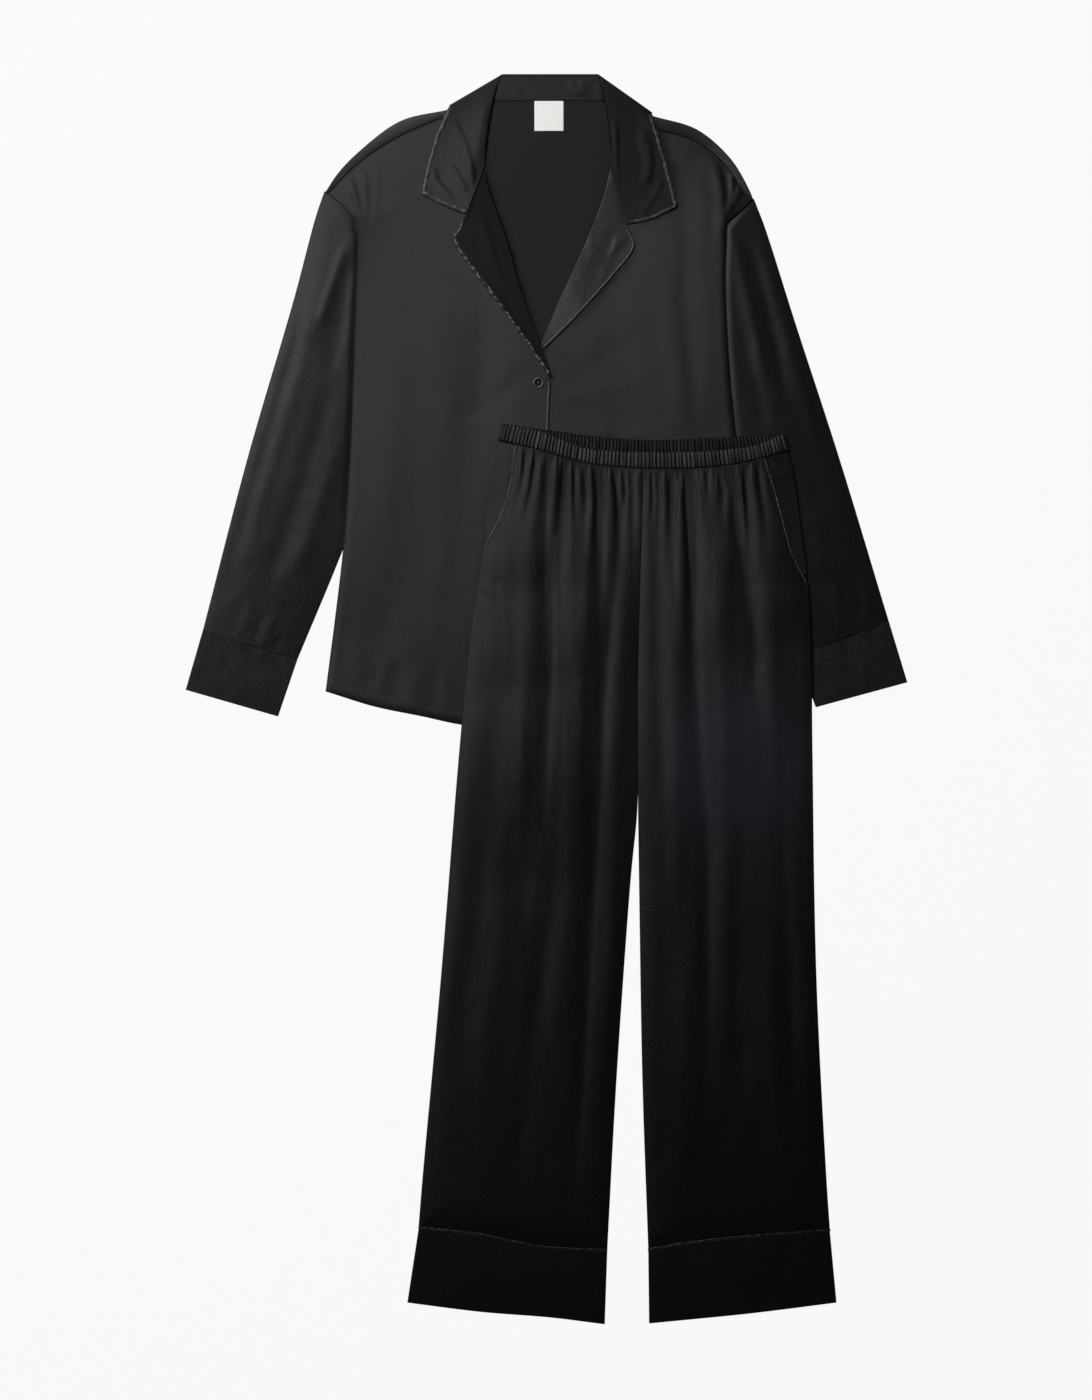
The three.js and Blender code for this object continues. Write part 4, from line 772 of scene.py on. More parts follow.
def backUnder(x, y):
    sleeve = np.minimum(distanceTo(hiddenRightSleeve, x, y), distanceTo(hiddenLeftSleeve, x, y))
    fall = distanceTo(hiddenFall, x, y)
    return np.maximum(
        (pair + seam) * closeTo(sleeve, *bodyShape["fromSleeve"]),
        (layer + 0.05) * closeTo(fall, *bodyShape["fromFall"]))


def frontUnder(x, y, folded=True, edged=True):
    inside = np.maximum(0, -distanceTo(bodyOutline, x, y))
    side = (1 - np.exp(-inside / bodyShape["sideReach"])) * np.exp(-inside / bodyShape["sideFade"])
    loft = bodyShape["loft"] * (1 - np.exp(-inside / bodyShape["loftReach"]))
    loft = loft + bodyShape["sidePuff"] * side * closeTo(y, *bodyShape["sideHeights"])
    if folded:
        shown = smooth(distanceTo(trouserOutline, x, y), *bodyShape["fromTrousers"])
        fromButton = np.hypot(x - buttonPlaces[0][0], y - buttonPlaces[0][1])
        puff = (1 - np.exp(-inside / bodyShape["foldReach"])) * smooth(fromButton, *bodyShape["fromButton"])
        folds = bodyShape["folds"] * foldHeight(shirtFolds, x, y) + ripples(bodyShape["ripples"], x, y)
        loft = softFloor(loft + folds * puff * shown)
        if edged:
            loft = loft + foldHeight(edgeFolds, x, y) * shown
    return backUnder(x, y) + layer + loft


def leftLapelUnder(x, y):
    return frontUnder(x, y, True, False)


def lapRise(x, y):
    # The right front lies over the left one
    return (layer + 0.15) * smooth(x, *bodyShape["lapAcross"]) * closeTo(y, *bodyShape["lapHeights"])


def rightFrontUnder(x, y):
    return frontUnder(x, y) + lapRise(x, y)


# The trousers rest on what stands highest in the shirt, and hang softly from there
rest = {
    "cell": 6, "fromX": -132, "fromY": -300, "columns": 84, "rows": 110, "reach": 33, "flat": 16,
    "settle": 14,
    "sleeveTop": pair + 2.6, "cuffTop": 3.4, "pipingRise": layer + 0.1,
    "buttonReach": 8.35, "buttonRise": 2.5,
}


def shirtTop(x, y):
    top = np.where(distanceTo(leftSleeveOutline, x, y) < 0, rest["sleeveTop"], 0.0)
    top = np.where(distanceTo(leftCuffOutline, x, y) < 0, rest["cuffTop"], top)
    onBody = distanceTo(bodyOutline, x, y) < 0
    beforeEdge = x < frontEdge + 2
    body = frontUnder(x, y, False) + lapRise(x, y) * beforeEdge + wall
    top = np.where(onBody, np.maximum(top, body), top)
    top = top + np.where((x > 0) & beforeEdge & (y > -45), rest["pipingRise"], 0)
    fromButton = np.minimum.reduce([np.hypot(x - bx, y - by) for bx, by in buttonPlaces])
    return top + np.where(fromButton < rest["buttonReach"], rest["buttonRise"], 0)


def restTable():
    x = rest["fromX"] + rest["cell"] * np.arange(rest["columns"])[None, :]
    y = rest["fromY"] + rest["cell"] * np.arange(rest["rows"])[:, None]
    x, y = np.broadcast_arrays(x.astype(float), y.astype(float))
    tops = shirtTop(x, y)
    reach = rest["reach"]
    far = reach * rest["cell"]
    padded = np.pad(tops, reach)
    best = np.zeros_like(tops)
    for dj in range(-reach, reach + 1):
        for di in range(-reach, reach + 1, 3):
            away = math.hypot(di, dj) * rest["cell"]
            if away <= far:
                near = padded[reach + dj:reach + dj + tops.shape[0], reach + di:reach + di + tops.shape[1]]
                best = np.maximum(best, near * closeTo(away, rest["flat"], far))
    return best


restHeights = restTable()
softRest = restHeights.copy()
for turn in range(rest["settle"]):
    wide = np.pad(softRest, 1, mode="edge")
    softRest = np.maximum(restHeights, (
        wide[1:-1, 1:-1] * 2 + wide[:-2, 1:-1] + wide[2:, 1:-1] + wide[1:-1, :-2] + wide[1:-1, 2:]) / 6)
print("stage: layers measured")


def legUnder(x, y):
    i = np.clip((x - rest["fromX"]) / rest["cell"], 0, rest["columns"] - 1.001)
    j = np.clip((y - rest["fromY"]) / rest["cell"], 0, rest["rows"] - 1.001)
    column, row = np.floor(i).astype(int), np.floor(j).astype(int)
    s, t = i - column, j - row
    low = softRest[row, column] * (1 - s) + softRest[row, column + 1] * s
    high = softRest[row + 1, column] * (1 - s) + softRest[row + 1, column + 1] * s
    top = low * (1 - t) + high * t
    return top + seam * np.minimum(1, top)


# Shirt back: a plate, and a wrap over each shoulder on to the front. Angles turn from the top to the table
wrapShape = {
    "columns": 48, "seamGap": 0.15, "seamRound": 0.9, "flank": (0.35, 0.7), "puff": 0.35,
    "turns": (90, 64, 38, 12, -14, -40, -65, -90), "tucks": (-1.5, -6), "tuckLow": 0.2, "tuckHigh": 0.8,
}


def rolledTurns(path, outward, radius, level, turns):
    # A row of places on the outer and the inner side of a wall for each turn of a rolled fold
    for degrees in turns:
        angle = math.radians(degrees)
        yield [
            np.column_stack([path + outward * depth * math.cos(angle),
                             level + radius + depth * math.sin(angle)])
            for depth in (radius, radius - wall)]


def shoulderWrap(seamLine, foldLine):
    shares = np.linspace(0, 1, wrapShape["columns"])
    radius = pair / 2
    line, fold = seamLine.at(shares), foldLine.at(shares)
    outward = (fold - line) / np.linalg.norm(fold - line, axis=1)[:, None]
    border = line + outward * wrapShape["seamGap"]
    centre = fold - outward * radius
    base = backUnder(centre[:, 0], centre[:, 1])
    seamBase = backUnder(border[:, 0], border[:, 1])
    rows = []

    def put(places, high, low):
        rows.append([np.column_stack([places, high]), np.column_stack([places, low])])
    put(border, seamBase + pair - 0.1, seamBase + layer)
    put(border + outward * wrapShape["seamRound"], seamBase + pair + 0.05, seamBase + layer)
    for step in wrapShape["flank"]:
        puff = wrapShape["puff"] * math.sin(math.pi * step)
        level = seamBase + (base - seamBase) * step
        put(border + (centre - border) * step, level + pair + puff, level + layer + puff)
    rows += rolledTurns(centre, outward, radius, base, wrapShape["turns"])
    for reach in wrapShape["tucks"]:
        put(centre + outward * reach, base + wrapShape["tuckLow"], base + wrapShape["tuckHigh"])
    outer, inner = zip(*rows)
    return shell(np.stack(outer), np.stack(inner))


def facedOut(part):
    # Turns a closed part's faces round if they point inwards
    places, faces, uvs = part
    mesh = bmesh.new()
    corners = [mesh.verts.new(place) for place in places]
    for face in faces:
        mesh.faces.new([corners[i] for i in face])
    volume = mesh.calc_volume(signed=True)
    mesh.free()
    return (places, faces[:, ::-1], uvs) if volume < 0 else part


backShape = {
    "inset": 0.9, "across": (520, 3.2), "down": (700, 6), "bow": 0.22,
    "ripples": [(0.35, 38, 1, 8)], "fromEdge": (4, 40), "rippledBelow": 700,
}


def backHollow(x, y, u, v):
    shown = smooth(-distanceTo(bodyOutline, x, y), *backShape["fromEdge"])
    soft = softFloor(ripples(backShape["ripples"], x, y) * shown, 0.1) * (y < backShape["rippledBelow"])
    return backUnder(x, y) + foldHeight(neckFolds, x, y) + soft


def shirtBack():
    inset = backShape["inset"]
    neck = [(-66, neckSeam), (70, neckSeam)]
    rightTop = [(x + inset, y - inset) for x, y in rightShoulderFold]
    leftTop = [(x - inset, y - inset) for x, y in leftShoulderFold]
    top = Line(rightTop, [rightTop[-1], neck[0]], neck, [neck[1], leftTop[0]], leftTop)
    place = patch(top, Line(rightHem, leftHem), rightBodySide, leftBodySide, backShape["bow"])
    return [
        sheetPart(place, spread(*backShape["across"]), spread(*backShape["down"]), backHollow),
        facedOut(shoulderWrap(
            Line(rightShoulderSeam, [rightShoulderSeam[-1], (-117, 696.2)]),
            Line(rightShoulderFold, [rightShoulderFold[-1], (-108, 709.4)]))),
        facedOut(shoulderWrap(
            Line([(124, 685.2), leftShoulderSeam[0]], leftShoulderSeam),
            Line([(117, 702.4), leftShoulderFold[0]], leftShoulderFold)))]


# Shirt fronts
frontShape = {"across": (250, 3.6), "down": (690, 4.2), "rollSetBack": 3.5}


def frontPanel(top, bottom, left, right, underside):
    place = patch(top, bottom, left, right)
    return sheetPart(
        place, spread(*frontShape["across"]), spread(*frontShape["down"]),
        lambda x, y, u, v: underside(x, y))


rightBack = [(x - frontShape["rollSetBack"], y) for x, y in rightRoll]
leftBack = [(x + frontShape["rollSetBack"], y) for x, y in leftRoll]
rightFront = frontPanel(
    Line(rightShoulderSeam, [rightShoulderSeam[-1], (-70.5, 699)]), Line(rightHem), rightBodySide,
    Line([(-70.5, 699), (-75, 668), rightBack[0]], rightBack, [rightBack[-1], (3, 340), rightHem[-1]]),
    rightFrontUnder)
leftFront = frontPanel(
    Line([(73, 699), leftShoulderSeam[0]], leftShoulderSeam), Line([(leftFrontEdge, -42)] + leftHem[1:]),
    Line([(73, 699), (78, 668), leftBack[0]], leftBack, [leftBack[-1], (-20, 412), (leftFrontEdge, 380)],
         [(leftFrontEdge, 380), (leftFrontEdge, -42)]), leftBodySide, frontUnder)
backPiece = makeSheet("shirtBack", together(*shirtBack()), "shirt_satin")
plateFaces = len(gridFaces(len(spread(*backShape["down"])), len(spread(*backShape["across"]))))
backPiece.data.materials.append(satins["reverse"])
for face in backPiece.data.polygons[:plateFaces]:
    face.material_index = 1
makeSheet("shirtRightFront", rightFront, "shirt_satin")
makeSheet("shirtLeftFront", leftFront, "shirt_satin")

# Sleeves and their cuffs. Pairs say where an effect begins and ends
sleeveShape = {
    "loft": 2.6, "crown": 0.7, "down": (560, 4), "across": (130, 3),
    "folds": 0.7, "ripples": [(0.25, 34, 1, 11), (0.1, 13, 1, 12)],
    "fromTrousers": (2, 30), "fromBody": (-6, 6), "clearAtOnce": 0.75, "clearNear": (-3, 6),
    "clearFar": (10, 50),
    "leastFolds": 0.35,
}
sleeveCuffShape = {
    "down": (76, 2.2), "across": (118, 2.2), "wall": 1.3, "crown": 0.5,
    "ripples": [(0.25, 16, 1, 21)], "seamPulls": [(0.35, 5, 5, 22)], "pullReach": 5,
}


def arch(u):
    return np.sin(np.pi * np.clip(u, 0, 1))


def sleeveRise(x, y, u, v):
    away = distanceTo(bodyOutline, x, y)
    atOnce = sleeveShape["clearAtOnce"]
    clear = (atOnce * smooth(away, *sleeveShape["clearNear"])
             + (1 - atOnce) * smooth(away, *sleeveShape["clearFar"]))
    crown = arch(u) ** sleeveShape["crown"]
    shown = smooth(distanceTo(trouserOutline, x, y), *sleeveShape["fromTrousers"])
    folds = sleeveShape["folds"] * foldHeight(sleeveFolds, x, y) + ripples(sleeveShape["ripples"], x, y)
    near = smooth(away, *sleeveShape["fromBody"])
    least = sleeveShape["leastFolds"]
    lift = sleeveShape["loft"] * clear * crown
    folded = folds * np.minimum(1, 2 * crown) * near * shown * (least + (1 - least) * clear)
    return softFloor(lift + folded, 0.2) * near


def sleeve(left, right):
    place = patch(Line([left[0], right[0]]), Line([left[-1], right[-1]]), Line(left), Line(right))
    return flatTube(place, spread(*sleeveShape["down"]), spread(*sleeveShape["across"]), sleeveRise)


def sleeveCuffRise(x, y, u, v):
    soft = sleeveCuffShape["crown"] * arch(u) + ripples(sleeveCuffShape["ripples"], x, y)
    pulls = ripples(sleeveCuffShape["seamPulls"], x, y) * np.exp(-v * sleeveCuffShape["pullReach"])
    return softFloor(soft + pulls, 0.15) * smooth(u, 0, 0.06) * closeTo(u, 0.94, 1)


def sleeveCuff(left, right):
    place = patch(Line([left[0], right[0]]), Line([left[1], right[1]]), Line(left), Line(right))
    return flatTube(
        place, spread(*sleeveCuffShape["down"]), spread(*sleeveCuffShape["across"]), sleeveCuffRise,
        sleeveCuffShape["wall"])


makeSheet("rightSleeve", sleeve(rightSleeveOuter, rightSleeveInner), "shirt_satin")
# The sleeve at the viewer's right wears a slightly darker copy of the satin, painted shade, and its cuff a
# lighter one, painted light
makeSheet("leftSleeve", sleeve(leftSleeveInner, leftSleeveOuter), "shirt_satin", satins["farSleeve"])
makeSheet("rightSleeveCuff", sleeveCuff(*rightCuffEdges), "shirt_satin")
makeSheet("leftSleeveCuff", sleeveCuff(*leftCuffEdges[::-1]), "shirt_satin", satins["farCuff"])

collarFolds = [
    (1.3, 4, 7, [(-114, 698), (-100, 670), (-91, 636), (-88, 612)]),
    (-1.1, 4, 4, [(-123, 668), (-108, 646), (-97, 624), (-90, 608)]),
    (0.9, 4, 5, [(-116, 644), (-102, 620), (-92, 606)]),
    (-0.9, 4, 4, [(-128, 630), (-112, 610), (-98, 598)]),
    (-0.8, 5, 5, [(-84, 690), (-80, 660), (-80, 628)]),
    (0.7, 5, 5, [(-138, 640), (-128, 616), (-112, 600)]),
    (-1.6, 12, 8, [(92, 700), (98, 660), (96, 612)]),
    (1.2, 7, 8, [(112, 684), (122, 646), (122, 610)]),
    (-0.9, 4, 5, [(136, 640), (124, 614), (108, 586)]),
    (0.9, 4, 5, [(142, 626), (128, 600), (112, 578)]),
    (0.9, 5, 5, [(84, 700), (82, 660), (84, 620)]),
    (-0.8, 3, 4, [(130, 664), (138, 630), (144, 606)]),
]
lapelFolds = [
    (0.8, 4, 5, [(-96, 576), (-90, 556), (-92, 540)]),
    (-0.8, 4, 4, [(-90, 574), (-82, 552), (-82, 530)]),
    (0.7, 6, 6, [(-78, 580), (-66, 540), (-52, 500)]),
    (-0.6, 6, 6, [(-64, 560), (-48, 510), (-30, 460)]),
    (0.4, 7, 7, [(98, 560), (84, 546), (72, 520)]),
    (-0.6, 6, 6, [(80, 560), (66, 530), (46, 500)]),
]


# How the fall and the lapels lie, and how each roll stands up, from its height to where it has fallen
collarShape = {
    "gap": 1.0, "underFall": 0.35, "edgeStand": 1.1, "folds": 1.15,
    "ripples": [(0.26, 15, 1, 31), (0.14, 7, 1, 32)],
    "fallAcross": (70, 2, 1.2), "fallDown": (150, 2.2), "lapelAcross": (45, 1.8, 1.2),
    "lapelDown": (230, 2.6),
    "rollColumns": 7, "rollShare": 0.045,
}
rightFallRoll = {"loft": 3.2, "from": 0.2, "crest": 0.78, "fall": 0.8}
rightLapelRoll = {"loft": 3.0, "from": 0.0, "crest": 0.42, "fall": 0.9}
leftRollShape = {"loft": 0.9, "from": 0.15, "crest": 0.95, "fall": 0.0}


def rolled(fromEdge, lift, turn, shape):
    crest = shape["crest"]
    raised = shape["loft"] * lift * smooth(fromEdge, shape["from"], crest) * (
        1 - shape["fall"] * smooth(fromEdge, crest, 2 - crest) * 2)
    tip = closeTo(1 - fromEdge, 0, collarShape["rollShare"])
    return raised - (raised + layer - 0.1) * turn * tip ** 2


def fallRise(table, x, y, u, v):
    inside = np.minimum(smooth(u, 0, 0.12), smooth(1 - u, 0, 0.12)) * smooth(1 - v, 0, 0.1)
    folds = collarShape["folds"] * foldHeight(table, x, y) + ripples(collarShape["ripples"], x, y)
    return softFloor(folds * inside, 0.12)


def rollColumns(across, rollAtRight):
    # Shares across a fall, with more of them where it rolls
    near = 1 - collarShape["rollShare"] * np.linspace(0, 1, collarShape["rollColumns"])[::-1]
    return np.unique(np.concatenate([spread(*across), near if rollAtRight else 1 - near]))


def collarRest(x, y):
    return frontUnder(x, y, False) + collarShape["underFall"] + wall + collarShape["gap"]


def lapelRest(underside):
    return lambda x, y: underside(x, y) + wall + collarShape["gap"]


def collarFall(left, right, bottom, top, rollAtRight):
    place = patch(Line(top), Line(bottom), left, right)
    lapelSeam = (right if rollAtRight else left).joint
    roll = rightFallRoll if rollAtRight else leftRollShape

    def underside(x, y, u, v):
        lift = smooth(v, 0, 0.2) * closeTo(v, 0.55, 0.95)
        turn = smooth(v, 0, 0.12) * closeTo(v, lapelSeam - 0.16, lapelSeam - 0.06)
        fromEdge = u if rollAtRight else 1 - u
        stand = np.maximum(closeTo(fromEdge, 0, 0.45), smooth(v, 0.6, 1)) * smooth(v, 0, 0.15)
        return (collarRest(x, y) + rolled(fromEdge, lift, turn, roll) + collarShape["edgeStand"] * stand
                + fallRise(collarFolds, x, y, u, v))
    across = rollColumns(collarShape["fallAcross"], rollAtRight)
    return sheetPart(place, across, spread(*collarShape["fallDown"]), underside)


# The collar's back: the fold at the top, the hidden fall behind it and the stand in front of it
foldShape = {
    "columns": 70, "cornersNear": [-53.5, -52.5, 61.5, 62.5],
    "turns": (90, 66, 42, 18, -6, -30, -54, -78, -90), "tucks": (-1.5, -5), "tuckLow": 0.2, "tuckWall": 0.8,
    "hiddenAcross": (240, 6), "hiddenDown": (35, 5), "standAcross": (120, 1.8), "standDown": (30, 1.6),
    "standRipples": [(0.12, 11, 1, 33)],
}
standFolds = [
    (0.5, 3, 5, [(30, 741), (34, 732), (44, 724)]),
    (0.45, 3, 4, [(44, 742), (42, 732), (48, 726)]),
    (0.4, 4, 5, [(-48, 742), (-38, 734), (-30, 724)]),
    (-0.35, 4, 4, [(56, 740), (58, 728)]),
]
foldTop = float(backUnder(np.array(0.0), np.array(735.0))) + pair + collarShape["gap"] + wall


def collarFold():
    radius = foldTop / 2
    corners = np.interp(foldShape["cornersNear"], foldCorners.places[:, 0], foldCorners.shares)
    path = foldCorners.at(np.unique(np.concatenate([np.linspace(0, 1, foldShape["columns"]), corners])))
    along = np.gradient(path, axis=0)
    along /= np.linalg.norm(along, axis=1)[:, None]
    outward = np.column_stack([-along[:, 1], along[:, 0]])
    rows = []

    def put(reach, high, low):
        places = path + outward * reach
        rows.append([np.column_stack([places, np.full(len(path), level)]) for level in (high, low)])
    put(-radius - 4, foldTop - 1.1, foldTop - wall - 0.6)
    put(-radius - 1, foldTop - 0.5, foldTop - wall - 0.1)
    rows += rolledTurns(path - outward * radius, outward, radius, np.zeros(len(path)), foldShape["turns"])
    for reach in foldShape["tucks"]:
        put(reach - radius, foldShape["tuckLow"], foldShape["tuckWall"])
    outer, inner = zip(*rows)
    return facedOut(shell(np.stack(outer), np.stack(inner)))


def standUnder(x, y, u, v):
    level = (foldTop - wall) * (1 - v) + backUnder(x, np.full(np.shape(x), neckSeam)) * v
    inside = smooth(v, 0, 0.2) * closeTo(v, 0.8, 1) * smooth(u, 0, 0.1) * closeTo(u, 0.9, 1)
    return level + (foldHeight(standFolds, x, y) + ripples(foldShape["standRipples"], x, y)) * inside


def collar():
    hiddenPlace = patch(
        foldCorners.moved(0, -2.7), Line(hiddenFallEdge), Line([(-117, 709.3), hiddenFallEdge[0]]),
        Line([(127, 700.8), hiddenFallEdge[2]]), 1)
    topRight, topLeft = (-54, 746.6), (63, 746.6)
    seamRight, seamLeft = (-66, neckSeam + seam), (70, neckSeam + seam)
    standPlace = patch(
        Line([topRight, topLeft]), Line([seamRight, seamLeft]),
        Line([topRight, seamRight]), Line([topLeft, seamLeft]))
    return together(
        sheetPart(hiddenPlace, spread(*foldShape["hiddenAcross"]), spread(*foldShape["hiddenDown"]), onTable),
        collarFold(),
        sheetPart(standPlace, spread(*foldShape["standAcross"]), spread(*foldShape["standDown"]), standUnder),
        collarFall(
            Line(rightCollarEdge), Line(rightCollarRoll, rightCollarSeam), rightCollarEnd,
            [rightCollarEdge[0], rightCollarRoll[0]], True),
        collarFall(
            Line(leftCollarRoll, leftCollarSeam), Line(leftCollarEdge), leftCollarEnd,
            [leftCollarRoll[0], leftCollarEdge[0]], False))


def lapel(left, right, rollAtRight, underFront):
    place = patch(
        Line(places=np.array([left.at(0), right.at(0)])), Line(places=np.array([left.at(1), right.at(1)])),
        left, right)
    roll = rightLapelRoll if rollAtRight else leftRollShape
    onFront = lapelRest(underFront)

    def underside(x, y, u, v):
        wide = closeTo(v, 0.45, 0.95)
        turn = wide * smooth(v, 0, 0.16)
        fromEdge = u if rollAtRight else 1 - u
        return onFront(x, y) + rolled(fromEdge, wide, turn, roll) + fallRise(lapelFolds, x, y, u, v)
    across = rollColumns(collarShape["lapelAcross"], rollAtRight)
    return sheetPart(place, across, spread(*collarShape["lapelDown"]), underside)


collarPiece = makeSheet("shirtCollar", collar(), "shirt_satin")
# The fall at the viewer's right and the stand wear darker copies of the satin: painted shade
wear(collarPiece, satins["farFall"], lambda middle: middle.x > 0.066)
wear(collarPiece, satins["stand"], lambda middle: abs(middle.x) < 0.066 and middle.y > 0.7165)
rightLapelOuter = Line([rightNotch, rightLapelPoint], rightLapelEdge)
leftLapelOuter = Line([leftNotch, leftLapelPoint], leftLapelEdge)
# The lapel at the viewer's left wears a darker copy of the satin and the other lapel a lighter one: painted
# shade and painted light
makeSheet("rightLapel", lapel(rightLapelOuter, Line(rightRoll), True, rightFrontUnder), "shirt_satin",
          satins["rightLapel"])
makeSheet("leftLapel", lapel(Line(leftRoll), leftLapelOuter, False, leftLapelUnder), "shirt_satin",
          satins["leftLapel"])
print("stage: shirt")

label = {"width": 35, "height": 36, "middle": 3, "top": 717.2, "wall": 0.8, "lift": 0.05, "bow": 0.35}


def neckLabel():
    def place(u, leftShare, rightShare):
        x = label["middle"] + label["width"] * (u - 0.5)
        v = np.repeat(leftShare[:, None], len(u), axis=1)
        return np.stack([np.broadcast_to(x[None, :], v.shape), label["top"] - label["height"] * v], -1), v

    def underside(x, y, u, v):
        return backUnder(x, y) + layer + label["lift"] + label["bow"] * np.sin(np.pi * u) * v
    across, down = spread(label["width"], 1.6, 0.7), spread(label["height"], 1.6, 0.7)
    return sheetPart(place, across, down, underside, thickness=label["wall"])


makeSheet("neckLabel", neckLabel(), "label_cloth")

# Trousers. Each gather is a valley that runs down from its pinch at the waist
gathers = {
    "pinch": 6.6, "pinchDepth": 1.5, "pinchReach": 11, "uneven": 0.5, "sway": 0.9, "spread": 70, "deep": 1.45,
    "narrow": 0.8,
}
# Depth, width on the left and on the right, how far down it reaches, and its way
gatherFolds = [
    (1.2, 3, 4, 60, [(-24, 296), (-28, 262), (-38, 224)]),
    (1.4, 3, 5, 80, [(-12, 296), (-18, 250), (-30, 200)]),
    (1.9, 7, 3, 130, [(5, 292), (2, 256), (-2, 200), (-4, 150)]),
    (2.3, 6, 3, 150, [(25, 288), (22, 240), (18, 190), (14, 120)]),
    (1.3, 3, 4, 60, [(34, 286), (34, 250), (35, 215)]),
    (1.6, 5, 3, 90, [(46, 284), (48, 240), (45, 190)]),
    (1.3, 3, 3, 70, [(58.5, 282), (62, 240), (61, 200)]),
    (2.2, 6, 3, 160, [(66, 281), (67, 235), (65, 170), (62, 110)]),
    (1.6, 3, 4, 80, [(81, 280), (85, 240), (87, 195)]),
    (1.4, 4, 3, 70, [(93, 279), (95, 250), (90, 205)]),
    (1.5, 5, 3, 85, [(103, 278), (104, 240), (103, 200)]),
    (1.3, 3, 3, 65, [(126, 277), (128, 240), (126, 205)]),
    (1.6, 4, 3, 90, [(134, 277), (136, 240), (134, 190)]),
    (2.1, 6, 3, 140, [(151, 276), (152, 240), (151, 180), (152, 130)]),
    (1.1, 3, 3, 26, [(157.5, 276), (160, 252)]),
    (2.2, 3, 6, 150, [(167, 277), (168, 236), (173, 190), (176, 130)]),
    (1.8, 6, 3, 70, [(174, 277), (177, 236), (176, 190)]),
    (1.2, 3, 3, 24, [(191.5, 278), (194, 258)]),
    (1.7, 5, 3, 50, [(206, 279), (212, 252), (211, 220)]),
    (1.2, 3, 3, 30, [(215, 280), (217, 254)]),
    (2.2, 7, 3, 150, [(222, 281), (228, 240), (231, 190), (236, 130)]),
    (1.7, 3, 5, 90, [(236, 283), (240, 240), (243, 200)]),
    (1.3, 3, 4, 70, [(252, 286), (256, 250), (262, 212)]),
]
waist = {
    "pocketTuck": 8, "wall": 2.0, "wave": 1.0, "backWave": 0.8, "fadeBelow": 22,
    "fromFacing": (12, 80), "facingRise": 0.5,
}
bandBase = waist["backWave"] + waist["wall"] + seam
rightFacingLines = Line(rightHip), Line([(x + waist["pocketTuck"], y) for x, y in rightPocket])
leftFacingLines = Line(leftHip), Line([(x - waist["pocketTuck"], y) for x, y in leftPocket])
rightFacingShape = outline(rightFacingLines[0].back(), rightFacingLines[1])
leftFacingShape = outline(leftFacingLines[0].back(), leftFacingLines[1])


def belowWaist(x, y):
    level = np.interp(x, bandBottomLine.places[:, 0], bandBottomLine.places[:, 1])
    return np.maximum(0, level - y)


def frontLegBase(x, y):
    facing = np.minimum(distanceTo(rightFacingShape, x, y), distanceTo(leftFacingShape, x, y))
    overFacing = (layer + waist["facingRise"]) * closeTo(facing, *waist["fromFacing"])
    atBand = bandBase - layer + waist["wave"] / 2
    return legUnder(x, y) + layer + overFacing + atBand * np.exp(-belowWaist(x, y) / waist["fadeBelow"])


def gatherRise(x, y):
    below = belowWaist(x, y)
    along = x / gathers["pinch"] + gathers["sway"] * ripple(x, 0 * x, 19, 41)
    pinch = np.abs(np.sin(math.pi * along)) ** 0.7 - 1
    deep = gathers["pinchDepth"] * (1 + gathers["uneven"] * ripple(x, 0 * x, 8, 42))
    total = deep * pinch * np.exp(-below / gathers["pinchReach"])
    for depth, leftWidth, rightWidth, reach, points in gatherFolds:
        way = np.array(points)
        aside = x - np.interp(-y, -way[:, 1], way[:, 0])
        wide = np.where(aside < 0, leftWidth, rightWidth) * (1 + below / gathers["spread"])
        valley = np.exp(-(aside / (gathers["narrow"] * wide)) ** 2 - (below / reach) ** 1.6)
        total = total - gathers["deep"] * depth * valley
    return total


# Trouser legs. The front panels are fine enough for their gathers, and the hidden back panels are plain
legShape = {
    "loft": 2.2, "loftReach": 12, "foldReach": 14, "loftBelow": (-6, 9), "foldsBelow": (20, 90),
    "aboveCuff": (-655, -560), "folds": 0.6,
    "ripples": [(0.3, 30, 2.6, 51), (0.1, 12, 2, 52), (0.2, 22, 6, 53)],
    "length": 960, "width": 190, "bow": 0.12, "hipShare": 0.14, "waistShare": 0.16, "edge": 1.2,
}
frontGrid = {"down": 7.5, "across": 1.3, "waistRows": 64}
backGrid = {"down": 10, "across": 8, "waistRows": 20}


def legTop(polygon):
    def underside(x, y):
        inside = np.maximum(0, -distanceTo(polygon, x, y))
        below = belowWaist(x, y)
        puff = (1 - np.exp(-inside / legShape["foldReach"])) * smooth(y, *legShape["aboveCuff"])
        loft = legShape["loft"] * (1 - np.exp(-inside / legShape["loftReach"]))
        loft = loft * smooth(below, *legShape["loftBelow"])
        folds = legShape["folds"] * foldHeight(legFolds, x, y) + ripples(legShape["ripples"], x, y)
        folds = folds * smooth(below, *legShape["foldsBelow"]) + foldHeight(pocketFolds, x, y)
        return frontLegBase(x, y) + softFloor(loft + folds * puff + gatherRise(x, y), 0.3)
    return underside


def seatLines(table, y, top=None):
    # The inner edge, with a corner where it passes the height of the pocket's lower end
    line = Line(table)
    cut = tuple(line.at(np.interp(-y, -line.places[:, 1], line.shares)))
    return Line([top or table[0], cut], [cut] + [place for place in table if place[1] < y - 20])


